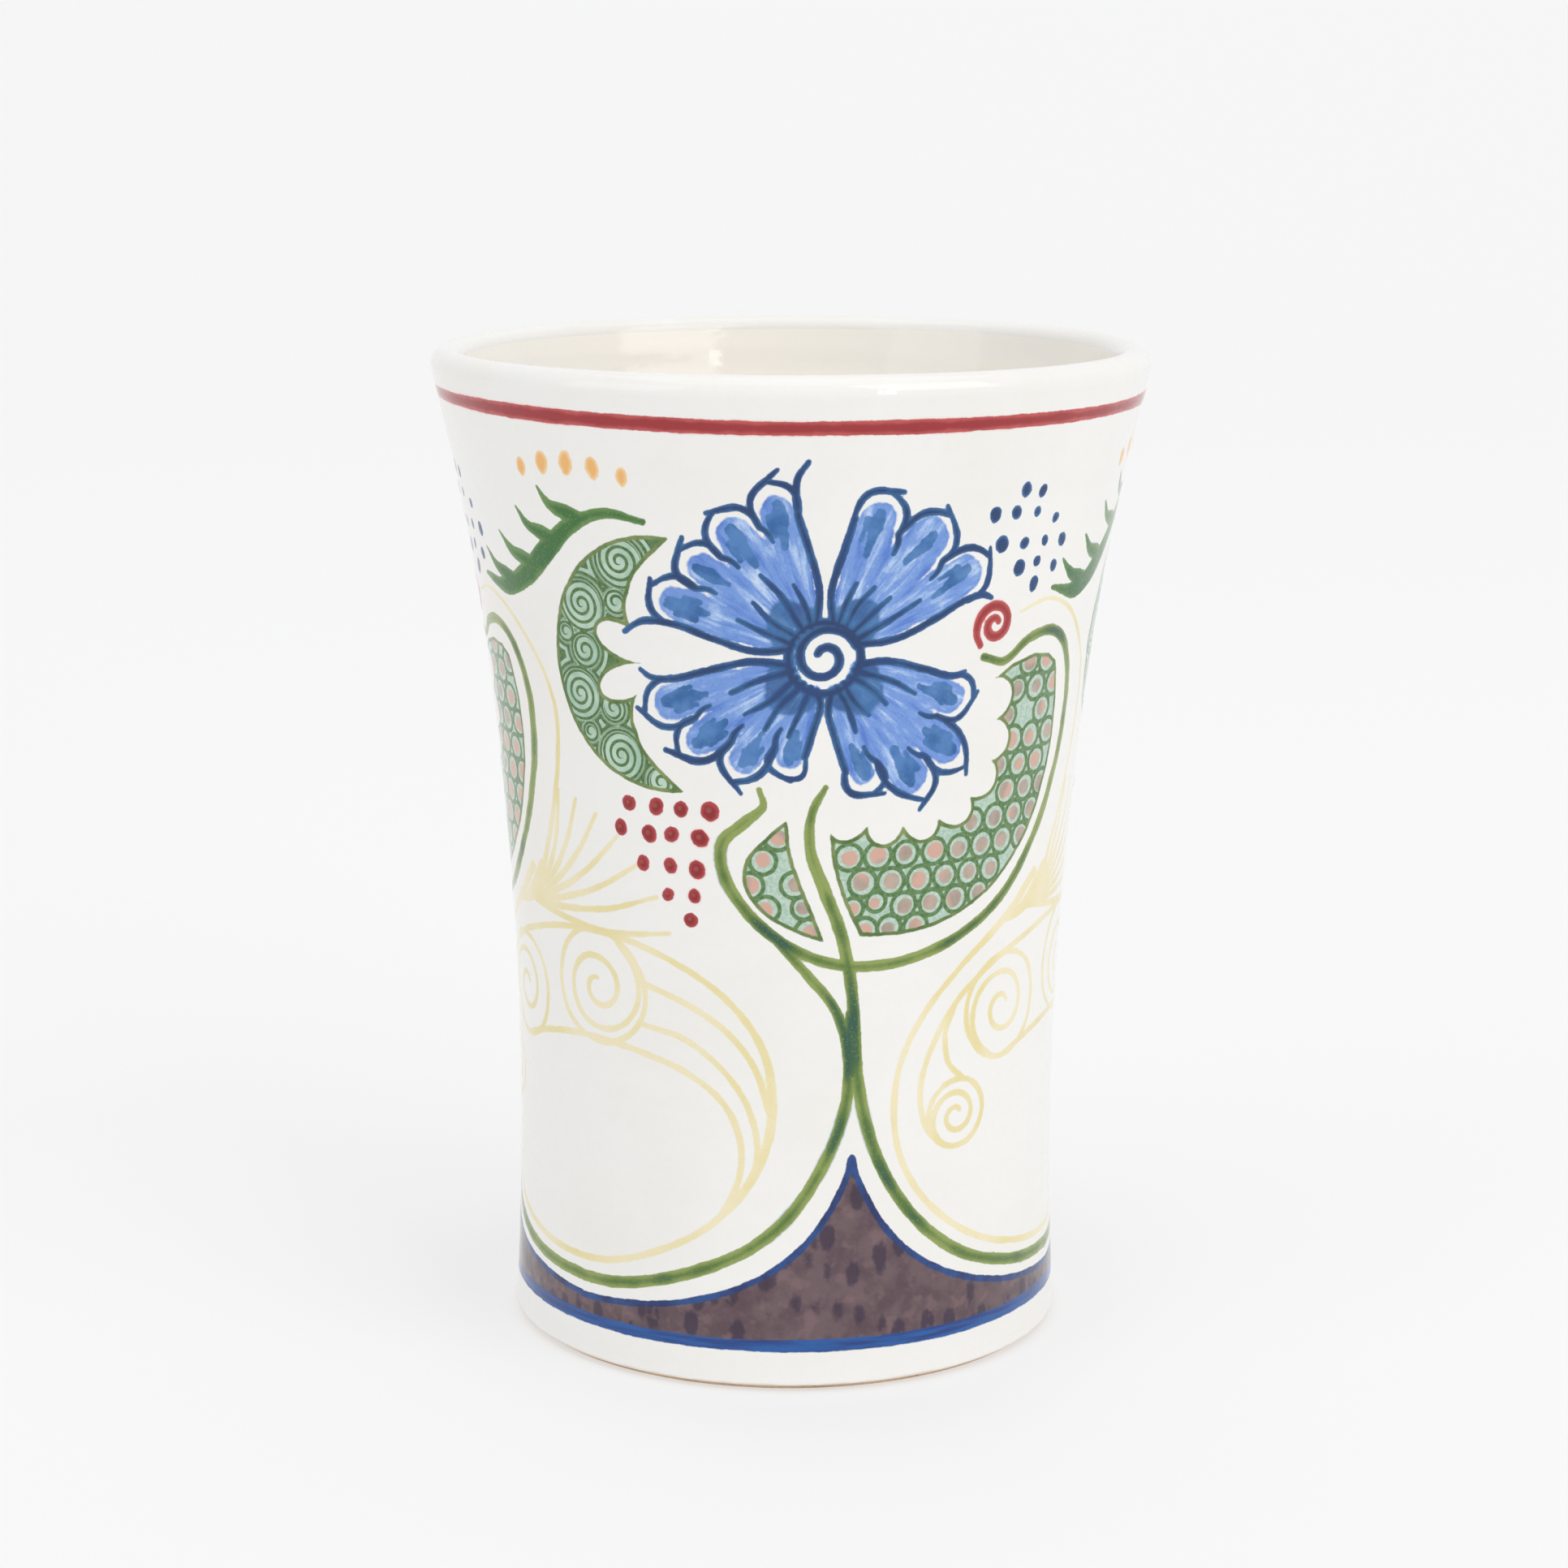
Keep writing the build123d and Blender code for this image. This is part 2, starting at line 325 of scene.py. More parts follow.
def draw_flower():
    for a0, a1, reach, runs in PETALS:
        n = len(reach)
        edge = np.linspace(a0, a1, n + 1)
        edge[1:-1] += rng.uniform(-1.5, 1.5, n - 1)
        nick = [reach[0] * 0.80] + [min(reach[i], reach[i + 1]) * 0.80 for i in range(n - 1)] + [reach[-1] * 0.80]
        for i, top in enumerate(reach):
            w = edge[i + 1] - edge[i]
            tip = ray(edge[i] + w * float(rng.uniform(0.42, 0.60)), top)
            low, high = ray(edge[i], nick[i]), ray(edge[i + 1], nick[i + 1])
            # each lobe comes to a point: two strokes, one of which may run on a little past it
            a, b = bowed(low, tip, -1.35), bowed(tip, high, -1.35)
            on = float(rng.uniform(0.9, 2.0))
            if rng.uniform() < 0.5:
                a = np.concatenate([a, [a[-1] + (a[-1] - a[-2]) / np.hypot(*(a[-1] - a[-2])) * on]])
            else:
                b = np.concatenate([[b[0] - (b[1] - b[0]) / np.hypot(*(b[1] - b[0])) * on], b])
            hook = bowed(ray(edge[i + 1] + 0.5, nick[i + 1]), ray(edge[i + 1] - 2.5, nick[i + 1] - 2.2), 0.3, 4)[1:]
            brush("navy", about(HEART, a), float(rng.uniform(0.85, 1.0)), tip0=0.9, tip1=0.6)
            brush("navy", about(HEART, np.concatenate([b, hook]) if i < n - 1 else b), float(rng.uniform(0.85, 1.0)), tip0=0.7, tip1=0.6)
            m = edge[i] + w / 2
            k = w * RAD
            mm = m + (a0 + a1) / 2 * 0.06 - m * 0.06
            fat("wash", about(HEART, [ray(mm, 4.4), ray(m, top * 0.42), ray(m, top * 0.66), ray(m, top * 0.83)]),
                [1.2, 0.53 * k * top * 0.42 + 0.2, 0.50 * k * top * 0.66 + 0.15, 0.37 * k * top * 0.83])
            d = float(rng.uniform(-0.10, 0.10)) * w
            size = float(rng.uniform(0.75, 1.2))
            fat("spot", about(HEART, [ray(m + d, top * 0.86), ray(m + d * 0.6, top * 0.79), ray(m - d, top * float(rng.uniform(0.60, 0.68)))]),
                [size * 0.7, size, 0.36])
            if size > 0.85:
                fat("spot", about(HEART, [ray(m + 0.20 * w, top * 0.81), ray(m + 0.22 * w, top * 0.70)]), [0.5, 0.28])
            if size > 1.0:
                fat("spot", about(HEART, [ray(m - 0.16 * w, top * 0.80), ray(m - 0.24 * w, top * 0.71)]), [0.5, 0.28])
        # the two sides of the petal sweep in to the heart and run out past it
        for a, r, s, far in ((a0, nick[0], 1, runs[0]), (a1, nick[-1], -1, runs[1])):
            side = [ray(a + 0.5 * s, r), ray(a - 1.5 * s, r * 0.76), ray(a - 5.5 * s, r * 0.46), ray(a + 3 * s, 4.0)]
            if far:
                side = [ray(a - 0.9 * far * s, r + far), ray(a - 0.2 * far * s, r + far * 0.66)] + side
            brush("navy", about(HEART, side), [0.65, 0.9, 0.95, 0.95, 0.95, 1.0][-len(side):])
        for i in range(4):
            a = a0 + (a1 - a0) * (0.18 + 0.21 * i)
            far = float(rng.uniform(0.42, 0.60)) * np.mean(reach)
            bow = float(rng.uniform(-3.5, 3.5))
            brush("navy", about(HEART, [ray(a, far), ray(a + bow, far * 0.72), ray(a + bow * 0.4, far * 0.46), ray(a, 3.9)]), [0.6, 0.85, 0.95, 1.15])
        fat("deep", about(HEART, [ray(a0 + 14, 5.4), ray((a0 + a1) / 2, 6.6), ray(a1 - 14, 5.4)]), [1.4, 1.9, 1.4])
    brush("navy", coil(HEART, 4.25, 4.05, 190, 1.02), 1.1, tip0=1, tip1=1)
    brush("navy", coil(HEART, 3.9, 0.9, 20, 1.35), 1.15, tip0=1, tip1=0.85)


def draw_dots():
    for row, (n, z, t0) in enumerate(((4, 70.2, -31.2), (4, 66.7, -33.0), (3, 63.0, -28.6), (2, 59.8, -23.6), (1, 56.9, -18.8))):
        for i in range(n):
            t, zz = t0 + 5.5 * i + rng.uniform(-0.5, 0.5), z + rng.uniform(-0.35, 0.35)
            r = rng.uniform(0.86, 1.06) + 0.05 * i - 0.035 * row
            dot("red", t, zz, r * 0.95, r * 1.05, tilt=rng.uniform(-0.3, 0.3))
            for rep in range(3):
                (tc, zc), = repeat_shift([(t, zz)], rep)
                red_dots.append((tc, zc, r))
    for n, z, t0 in ((2, 106.0, 40.6), (4, 103.2, 35.4), (4, 100.4, 37.8), (3, 97.4, 41.6), (1, 94.7, 46.4)):
        for i in range(n):
            r = rng.uniform(0.58, 0.80) + 0.22 * (i == 0)
            dot("navy", t0 + 4.7 * i + rng.uniform(-0.9, 0.9), z + rng.uniform(-0.7, 0.7), r, r * rng.uniform(1.0, 1.2), tilt=rng.uniform(-0.5, 0.5))
    for i in range(5):
        k = math.sin(math.pi * (i + 0.6) / 5)
        dot("orange", -48.0 + 5.2 * i, 107.9 + 1.5 * k, 0.72 + 0.32 * k, 1.0 + 0.50 * k, pointed=0.35)
    brush("red", coil((38.2, 90.9), 2.95, 0.55, 232, -1.55), 1.25, tip0=0.7, tip1=0.7)


def leaf_outline(middle, half_w, half_h, f0, f1, deep, teeth, sharp, blunt=None):
    """A leaf bent round a middle: a smooth back, and an inner side cut into round notches between pointed teeth.

    A blunt leaf is cut off along a slant at its first end and rounded at its last; otherwise both ends are points.
    """
    notches = len(teeth) - 1
    g0, g1 = blunt or (f0, f1)
    back, inner = np.linspace(f0, f1, 40), np.linspace(g1, g0 + (0.035 * (g1 - g0) if blunt else 0), 24 * notches + 1)
    q = (inner - g0) / (g1 - g0)
    tooth = np.interp(q * notches, np.arange(notches + 1), teeth)
    floor_ = tooth + deep if blunt else deep
    rho = tooth + (floor_ - tooth) * np.abs(np.sin(q * notches * math.pi)) ** sharp
    ones, cap, capr = np.ones(len(back)), [], []
    if blunt:
        cap, capr = [f1 + 4, f1 + 8, f1 + 10.5, f1 + 10], [0.95, 0.84, 0.69, 0.60]
    else:
        rho = 1 - (1 - rho) * (0.02 + 0.98 * np.clip(np.minimum(q, 1 - q) / 0.16, 0, 1) ** 0.9)
    a = np.concatenate([back, cap, inner]) * RAD
    rho = np.concatenate([ones, capr, rho])
    pts = np.stack([half_w * rho * np.cos(a), half_h * rho * np.sin(a)], 1)
    if blunt:
        pts = np.concatenate([pts, bowed(pts[-1], pts[0], -0.8, 8)[1:-1]])
    return about(middle, pts)


LEAVES = (("leafl", leaf_outline((-23.0, 86.8), 14.8, 15.0, 82, 278, 0.60, (0.5, 0.34, 0.15, 0.32, 0.5), 0.9), (3.1, 2.6, 2.1, 1.7, 1.35, 1.1)),
          ("leafr", leaf_outline((20.0, 78.6), 25.0, 23.6, 262, 376, 0.10, (0.48, 0.44, 0.43, 0.47, 0.51, 0.53, 0.53, 0.56), 0.6, (232, 386)), (1.52, 1.36, 1.15)),
          ("leafr", smooth(about((-0.5, 61.8), [(4.4, -6.8), (4.5, -7.1), (4.2, -7.1), (1.0, -5.9), (-2.6, -3.7), (-4.7, -0.6), (-4.6, 2.4), (-2.6, 4.9), (-0.1, 7.2), (0.1, 7.3), (0.2, 7.1), (0.5, 4.4), (1.4, 1.0), (3.0, -3.2)]), closed=True)[0], (1.5, 1.3)))


def pack_cells(rows, cols, mid, d, sizes):
    """Fills a leaf with rounds that don't overlap, the largest first. Each is (degrees, z, radius)."""
    found = []
    ii, jj = np.nonzero(d < -0.35 * min(sizes))
    deg, z = THETA0 + cols[jj] * DEG, row_z[rows.start + ii]
    k = r_of_z(z.mean()) * RAD
    for size in sizes:
        need = 0.62 if size > 1.6 else 0.95 if sizes[0] > 1.6 else 0.38
        ok = np.nonzero(d[ii, jj] < -need * size)[0]
        if size > 1.6 or not len(ok):
            order = rng.permutation(ok)[:500]
        else:
            # rounds of one size stand in staggered rows
            order = []
            for row, zz in enumerate(np.arange(z.min(), z.max(), size * 1.98)):
                for tt in np.arange(deg.min() + (row % 2) * size * 1.15 / k, deg.max(), size * 2.3 / k):
                    e = np.hypot((deg[ok] - tt) * k, z[ok] - zz)
                    if e.min() < 0.5:
                        order.append(ok[int(e.argmin())])
            order += list(rng.permutation(ok)[:300])
        for n in order:
            if all(math.hypot((deg[n] - t) * k, z[n] - zz) > (size + r) * 1.04 for t, zz, r in found):
                found.append((deg[n], z[n], size * rng.uniform(0.95, 1.03)))
    return found, k


def draw_leaves():
    for rep in range(3):
        for layer, outline, sizes in LEAVES:
            rows, cols, x, y, mid, d = shape_field(field[layer], repeat_shift(outline, rep))
            cells, k = pack_cells(rows, cols, mid, d, sizes)
            deg = (THETA0 + cols * DEG)[None, :]
            best, core = np.full(d.shape, 1e9), np.full(d.shape, 1e9)
            out = np.zeros(d.shape + (3,), np.float32)
            for t, z, r in cells:
                cx, cy = np.broadcast_to((deg - t) * k, d.shape), np.broadcast_to(grid_s[rows, None] - s_of_z(z), d.shape)
                e = np.hypot(cx, cy) - r
                take = e < best
                best = np.where(take, e, best)
                core = np.minimum(core, np.hypot((cx + rng.uniform(-0.16, 0.2)) * rng.uniform(0.94, 1.06), cy - rng.uniform(-0.14, 0.14)) - r * rng.uniform(0.56, 0.68))
                out[take] = np.stack([cx, cy, np.full(d.shape, r)], -1)[take]
            ix = np.ix_(range(rows.start, rows.stop), cols % NT)
            old = cell[ix]
            cell[ix] = np.where((d < 0.4)[..., None], out, old)
            old = rounds[ix]
            rounds[ix] = np.where((d < 0.4)[..., None], np.stack([best, core], -1), old)
    # comb sprig
    rib = [(-24.2, 103.3), (-31.0, 104.0), (-38.0, 102.4), (-44.5, 99.2), (-51.0, 95.9), (-59.0, 93.6), (-68.0, 94.4)]
    brush("green", rib, [0.8, 1.3, 1.9, 2.6, 2.9, 2.2, 0.5])
    line = smooth(rib)[0]
    for i in range(4):
        t, z = line[int(len(line) * (0.28 + 0.155 * i))]
        brush("green", about((t, z), [(0.3, 0.3), (-1.8, 0.9), (-4.1, 1.6), (-5.8 - 0.3 * i, 3.6)]), [1.9, 2.0, 1.35, 0.3])


def draw_vines():
    brush("green", [(36.4, 87.2), (41.5, 86.4), (47.5, 88.6), (54.0, 89.1), (60.0, 86.9), (63.8, 81.5), (63.8, 75.0), (60.4, 68.4), (54.6, 62.6), (47.0, 57.8),
                    (38.0, 54.5), (28.0, 52.4), (18.0, 51.5), (8.0, 52.1), (-1.0, 54.6), (-8.0, 58.3), (-12.2, 62.6), (-12.4, 66.2), (-8.0, 68.9), (-4.6, 70.8), (-5.4, 72.8)],
          [0.9, 1.1, 1.25] + [1.35] * 12 + [1.45, 1.5, 1.5, 1.3, 0.9, 0.65])
    brush("green", [(6.8, 73.0), (4.4, 70.0), (4.2, 65.6), (7.2, 60.6), (10.6, 55.2), (12.6, 49.6), (13.6, 44.0), (14.3, 38.6), (15.8, 33.6), (19.0, 27.9), (24.0, 22.7), (31.0, 18.1),
                    (40.0, 14.5), (51.0, 12.2), (62.0, 11.0), (73.8, 10.55)],
          [0.75, 1.1, 1.35] + [1.5] * 5 + [1.5] * 8)
    brush("green", [(-1.8, 54.6), (3.8, 50.8), (9.0, 47.0), (12.0, 42.4), (12.6, 37.4), (10.9, 32.2), (6.8, 26.7), (0.8, 21.4), (-7.0, 17.4), (-17.0, 14.4), (-29.0, 12.0),
                    (-38.0, 10.9), (-46.2, 10.55)],
          [1.0, 1.2, 1.25, 1.4, 1.5] + [1.5] * 8)


    brush("green", [(12.3, 46.0), (13.1, 42.0), (13.4, 38.5)], [0.8, 2.1, 1.6])


def draw_scrolls():
    bay = [(58.0, 59.4), (49.0, 55.0), (38.0, 50.6), (29.6, 45.8), (24.4, 40.8), (22.4, 35.4), (23.2, 29.4), (27.6, 23.8), (36.0, 18.9), (46.0, 15.6), (58.0, 13.6), (70.0, 12.8),
           (82.0, 13.3), (94.0, 16.0), (104.0, 19.7), (111.6, 24.6), (116.0, 30.2), (116.8, 36.4), (114.4, 42.4), (107.6, 47.8), (98.0, 51.4), (86.0, 53.3), (72.0, 53.4), (58.0, 52.1),
           (46.4, 49.9), (37.0, 46.2), (30.8, 41.0), (28.2, 35.6), (29.8, 31.0), (34.2, 28.5)]
    brush("yellow", bay, [1.4, 1.1] + [0.85] * 13 + [1.05, 1.15, 1.1, 0.95] + [0.8] * 11, wob=0.06, pad=1.0)
    for middle, r0, r1, a0, turns in (((78.6, 46.9), 6.9, 1.1, 250, 1.0), ((78.6, 46.9), 6.7, 1.0, 60, -1.9), ((50.0, 44.2), 6.4, 6.2, 70, 1.0), ((49.6, 44.0), 5.9, 1.0, 250, -1.6),
                                      ((37.4, 32.2), 4.1, 4.0, 120, -1.0), ((37.2, 31.9), 3.7, 0.8, 230, -1.5)):
        brush("yellow", coil(middle, r0, r1 if abs(turns) > 1.2 else r0, a0, turns), 0.75, tip0=1, tip1=0.8, wob=0.06, pad=1.0)
    for pts in ([(90.6, 48.4), (99.0, 46.9), (107.2, 44.1), (113.2, 39.6), (116.4, 33.8)], [(90.0, 43.4), (98.4, 42.6), (105.6, 39.8), (111.4, 35.4), (114.0, 30.0), (113.2, 25.8)],
                [(50.0, 37.8), (61.0, 39.5), (74.0, 40.4), (88.0, 40.0), (99.0, 38.4), (107.0, 35.0), (110.6, 30.0), (110.0, 25.2), (106.2, 20.8)],
                [(36.4, 45.9), (33.8, 42.2), (35.0, 38.4), (38.6, 36.4)]):
        brush("yellow", pts, 0.8, tip0=0.9, tip1=0.85, wob=0.06, pad=1.0)
    brush("yellow", [(44.0, 92.0), (51.5, 93.0), (59.0, 91.4), (65.4, 88.0), (70.4, 83.8), (72.6, 78.6), (71.4, 73.0), (68.8, 67.6), (65.0, 62.4), (61.4, 58.0)],
          [0.4, 0.5, 0.55, 0.6, 0.65, 0.7, 0.75, 0.8, 0.9, 1.0], wob=0.06, pad=1.0)
    for i in range(7):
        a, far = 63.0 - 11.2 * i, 14.6 + 1.15 * i
        brush("yellow", about((60.0, 56.6), [(-1.8, -1.1), ray(a - 16, far * 0.32), ray(a - 7, far * 0.66), ray(a, far)]), [0.8, 0.85, 0.75, 0.5], wob=0.06, pad=1.0)
    for rep in range(3):
        shape_field(field["yellow"], smooth(repeat_shift([(48.0, 54.4), (54.0, 56.3), (59.0, 58.9), (62.2, 60.6), (63.2, 58.8), (60.4, 56.4), (54.0, 54.6)], rep), closed=True)[0], pad=1.0)


def draw_ground():
    d = np.concatenate([np.linspace(-60, -4, 40), [-2.6, -1.5, -0.7, 0, 0.7, 1.5, 2.6], np.linspace(4, 60, 40)])
    fall = lambda x: np.exp(-(np.abs(x) / 14.8) ** 0.80)
    z = 8.2 + 20.6 * (fall(d) - fall(60.0)) / (1 - fall(60.0))
    z -= 1.1 * np.exp(-(d / 1.6) ** 2) * 0.4
    for rep in range(3):
        line = np.stack([13.5 + 120 * rep + d, z + 0.12 * np.sin(d * 6 * RAD + rep) * np.sin(d * 1.5 * RAD)], 1)
        line[:, 1] += 0.10 * rep * np.cos(d * 1.5 * RAD) ** 2
        line = smooth(line)[0]
        outline = np.concatenate([line, [(line[-1, 0], 5.6), (line[0, 0], 5.6)]])
        shape_field(field["brown"], outline)
        n = len(line)
        stroke_field(field["bline"], line, 0.40 + 0.03 * np.interp(np.arange(n), np.arange(0, n + 9, 9), rng.uniform(-1, 1, len(np.arange(0, n + 9, 9)))), 1.4)


red_dots = []
draw_flower()
draw_dots()
draw_leaves()
draw_vines()
draw_scrolls()
draw_ground()

# bands, drawn freehand on the wheel
deg_all = (THETA0 + np.arange(NT) * DEG) * RAD
wave = lambda a, b, c: a * np.sin(deg_all * 2 + b) + 0.6 * a * np.sin(deg_all * 5 + c) + 0.3 * a * np.sin(deg_all * 11 + b * 3)
z_all = row_z[:, None]
outer_side = (np.arange(NR) < np.argmax(row_z))[:, None]
drift = np.interp(deg_all / RAD, [-196, -120, -75, -45, -27, 0, 60, 110, 164], [0.0, 0.1, 0.42, 0.20, -0.04, -0.48, -0.24, 0.0, 0.0])
low, high = 113.86 + wave(0.10, 0.4, 2.0) + drift + 0.18 * np.clip(drift / 0.4, 0, 1), 115.50 + wave(0.07, 1.9, 0.3) + drift
rim_band = np.where(outer_side, np.maximum(low[None] - z_all, z_all - high[None]), FAR)
field["red"] = np.minimum(field["red"], rim_band).astype(np.float32)
low, high = 4.80 + wave(0.05, 1.2, 2.4), 6.28 + wave(0.10, 0.2, 1.3)
foot_band = np.clip(np.where(outer_side, np.maximum(low[None] - z_all, z_all - high[None]), FAR), -FAR, FAR)
field["brown"] = np.maximum(field["brown"], 5.4 - z_all).astype(np.float32)

# streak coordinates: round and away from the nearest flower's heart; nothing but white inside its ring
polar = np.zeros((NR, NT, 2), np.float32)
heart = np.full((NR, NT), 1e9, np.float32)
for rep in range(3):
    (tc, zc), = repeat_shift([HEART], rep)
    dx = ((deg_all / RAD - tc + 180) % 360 - 180)[None] * r_of_z(np.clip(z_all, 1, 116)) * RAD
    dy = z_all - zc
    d = np.hypot(dx, dy)
    take = (d < heart)[..., None]
    heart = np.minimum(heart, d)
    a = np.arctan2(dx, dy)
    polar = np.where(take, np.stack([np.sin(a), np.cos(a)], -1), polar)
    for n in ("wash", "deep", "spot"):
        field[n] = np.where(outer_side, np.maximum(field[n], 3.3 - d), field[n]).astype(np.float32)

# raised paint: strokes stand a little proud under the glaze, and the red touches are low domes
relief = np.zeros((NR, NT))
for n, h, soft in (("navy", 0.022, 0.30), ("green", 0.022, 0.30), ("red", 0.022, 0.30), ("yellow", 0.008, 0.25), ("orange", 0.03, 0.4), ("bline", 0.015, 0.3)):
    relief = np.maximum(relief, h * np.clip(-field[n] / soft, 0, 1) ** 0.8)
red_middle = np.full((NR, NT), FAR, np.float32)
for tc, zc, r in red_dots:
    rows, cols, deg = window(tc, tc, zc, zc, r + 0.3)
    k = r_of_z(zc) * RAD
    x, y = (deg[None] - tc) * k, grid_s[rows, None] - s_of_z(zc)
    e = np.hypot(x, y) / (r * 0.98)
    ix = np.ix_(range(rows.start, rows.stop), cols % NT)
    relief[ix] = np.maximum(relief[ix], 0.10 * np.sqrt(np.clip(1 - e * e, 0, 1)))
    red_middle[ix] = np.minimum(red_middle[ix], np.hypot(x + 0.12 * r, y - 0.15 * r) - 0.34 * r)


# ------------------------------------------------------------------ meshes
MM = 0.001


def xyz(r, theta, z):
    return np.stack([r * np.sin(theta), -r * np.cos(theta), z], -1) * MM


def grid_mesh(name, pos, nrm, closed_cols, attrs=None):
    """A mesh from a grid of points (rows x columns), with its smooth normals given."""
    nr, nc = pos.shape[:2]
    mesh = bpy.data.meshes.new(name)
    idx = np.arange(nr * nc).reshape(nr, nc)
    if closed_cols:
        right = np.roll(idx, -1, 1)
        quads = np.stack([idx[:-1], right[:-1], right[1:], idx[1:]], -1).reshape(-1, 4)
    else:
        quads = np.stack([idx[:-1, :-1], idx[:-1, 1:], idx[1:, 1:], idx[1:, :-1]], -1).reshape(-1, 4)
    mesh.vertices.add(nr * nc)
    mesh.vertices.foreach_set("co", pos.reshape(-1).astype(np.float32))
    mesh.loops.add(quads.size)
    mesh.loops.foreach_set("vertex_index", quads.reshape(-1).astype(np.int32))
    mesh.polygons.add(len(quads))
    mesh.polygons.foreach_set("loop_start", np.arange(0, quads.size, 4, dtype=np.int32))
    mesh.polygons.foreach_set("use_smooth", np.ones(len(quads), bool))
    for key, values in (attrs or {}).items():
        a = mesh.attributes.new(key, "FLOAT_VECTOR", "POINT")
        a.data.foreach_set("vector", np.ascontiguousarray(values, np.float32).reshape(-1))
    mesh.update(calc_edges=True)
    mesh.validate()
    if nrm is not None:
        mesh.normals_split_custom_set_from_vertices(nrm.reshape(-1, 3))
    o = bpy.data.objects.new(name, mesh)
    bpy.context.scene.collection.objects.link(o)
    return o


def grid_normals(pos):
    """Outward normals of a grid that closes on itself sideways and runs up the outside."""
    du = np.roll(pos, -1, 1) - np.roll(pos, 1, 1)
    dv = np.gradient(pos, axis=0)
    n = np.cross(du, dv)
    return n / np.maximum(np.linalg.norm(n, axis=-1, keepdims=True), 1e-12)


# --- outside glaze, from the foot over the lip's crown
theta = deg_all[None, :]
out, up = hand(theta, row_z[:, None])
lift = relief - GLAZE * (1 - np.sqrt(1 - np.clip(1 - grid_s / 0.34, 0, 1) ** 2))[:, None]
lift = lift + 0.03 * (np.exp(-((grid_s - 0.5) / 0.35) ** 2))[:, None] * (1 + 0.5 * np.sin(theta * 7 + 1))
soft_r = row_r[:, None] + out + row_n[:, 0:1] * lift
soft_z = row_z[:, None] + up + row_n[:, 1:2] * lift
pos = xyz(soft_r, theta, soft_z)
nrm = grid_normals(pos)
stack = lambda *names: np.stack([field[n] if isinstance(n, str) else np.broadcast_to(n, (NR, NT)) for n in names], -1)
packs = {
    "p1": stack("navy", "green", "red"), "p2": stack("yellow", "orange", "bline"), "p3": stack("wash", "spot", "deep"),
    "p4": stack("leafl", "leafr", "brown"), "p5": cell, "p6": stack(polar[..., 0], polar[..., 1], np.minimum(heart, 60)),
    "p7": stack(foot_band, red_middle, np.broadcast_to(row_z[:, None], (NR, NT))),
    "p8": stack(np.clip(rounds[..., 0], -FAR, FAR), np.clip(rounds[..., 1], -FAR, FAR), relief)}
panels = []
for p in range(PANELS):
    c = np.arange(p * PER_PANEL, (p + 1) * PER_PANEL + 1) % NT
    o = grid_mesh(f"glaze_panel_{p + 1}", pos[:, c], nrm[:, c], False, {k: v[:, c] for k, v in packs.items()})
    panels.append(o)

# --- inside glaze, from the lip's crown down the wall, round the fillet and over the floor
a_in = np.linspace(math.pi - LEAN, math.pi - LEAN + 0.0001, 2)[:1]
z_in = np.linspace(INNER[0][1], FLOOR_Z + FLOOR_FILLET, 700)
wall_in = np.stack([inner_r(np.clip(z_in, 13.3, None)), z_in], 1)
a_f = np.linspace(0, -math.pi / 2, 60)[1:]
fil = np.stack([28.5 - FLOOR_FILLET + FLOOR_FILLET * np.cos(a_f), FLOOR_Z + FLOOR_FILLET + FLOOR_FILLET * np.sin(a_f)], 1)
flo = np.stack([np.linspace(28.5 - FLOOR_FILLET, 0.0, 90)[1:], np.full(89, FLOOR_Z)], 1)
inside_line, in_s = resample(np.concatenate([wall_in, fil, flo]), 0.45)
inside_line[-1, 0] = 0.02
in_n = line_normals(inside_line)
NTI = 300
ti = np.arange(NTI) * 2 * math.pi / NTI
ro, uo = hand(ti[None], inside_line[:, 1:2])
rings = 0.035 * np.sin(inside_line[:, 1:2] * 2 * math.pi / 5.1 + ti[None] * 1.0) * np.clip((inside_line[:, 0:1] - 6) / 12, 0, 1) * np.clip((116 - inside_line[:, 1:2]) / 8, 0, 1)
rings = rings + 0.05 * np.sin(inside_line[:, 0:1] * 2 * math.pi / 4.6 + ti[None]) * (inside_line[:, 1:2] < FLOOR_Z + 0.6) * np.clip(inside_line[:, 0:1] / 6, 0, 1)
fade = np.clip(inside_line[:, 0:1] / 20, 0, 1)
pos_in = xyz(inside_line[:, 0:1] + ro * fade + in_n[:, 0:1] * rings, ti[None], inside_line[:, 1:2] + uo + in_n[:, 1:2] * rings)
inside = grid_mesh("glaze_inside", pos_in, grid_normals(pos_in), True)

# --- clay body: one closed turned form just under the glaze, its foot ring and recess bare
crown = np.stack([LIP_C + (LIP_R - GLAZE) * np.cos(np.linspace(-LEAN, math.pi - LEAN, 40)), HEIGHT - LIP_R + (LIP_R - GLAZE) * np.sin(np.linspace(-LEAN, math.pi - LEAN, 40))], 1)
zc = np.linspace(1.0, OUTER[-1][1], 200)[:-1]
clay_out = np.stack([outer_r(zc) - GLAZE, zc], 1)
zi = np.linspace(INNER[0][1], FLOOR_Z + FLOOR_FILLET, 180)[1:]
clay_in = np.stack([inner_r(zi) + GLAZE, zi], 1)
a_c = np.linspace(0, -math.pi / 2, 30)[1:]
clay_fil = np.stack([28.5 - FLOOR_FILLET + (FLOOR_FILLET + GLAZE) * np.cos(a_c), FLOOR_Z + FLOOR_FILLET + (FLOOR_FILLET + GLAZE) * np.sin(a_c)], 1)
under = [(0.0, 1.8), (26.2, 1.8), (27.3, 1.62), (28.0, 1.1), (28.35, 0.45), (28.75, 0.08), (29.2, 0.0), (32.2, 0.0), (32.75, 0.10), (33.15, 0.40), (33.42, 0.80)]
under = resample(under, 0.35)[0]
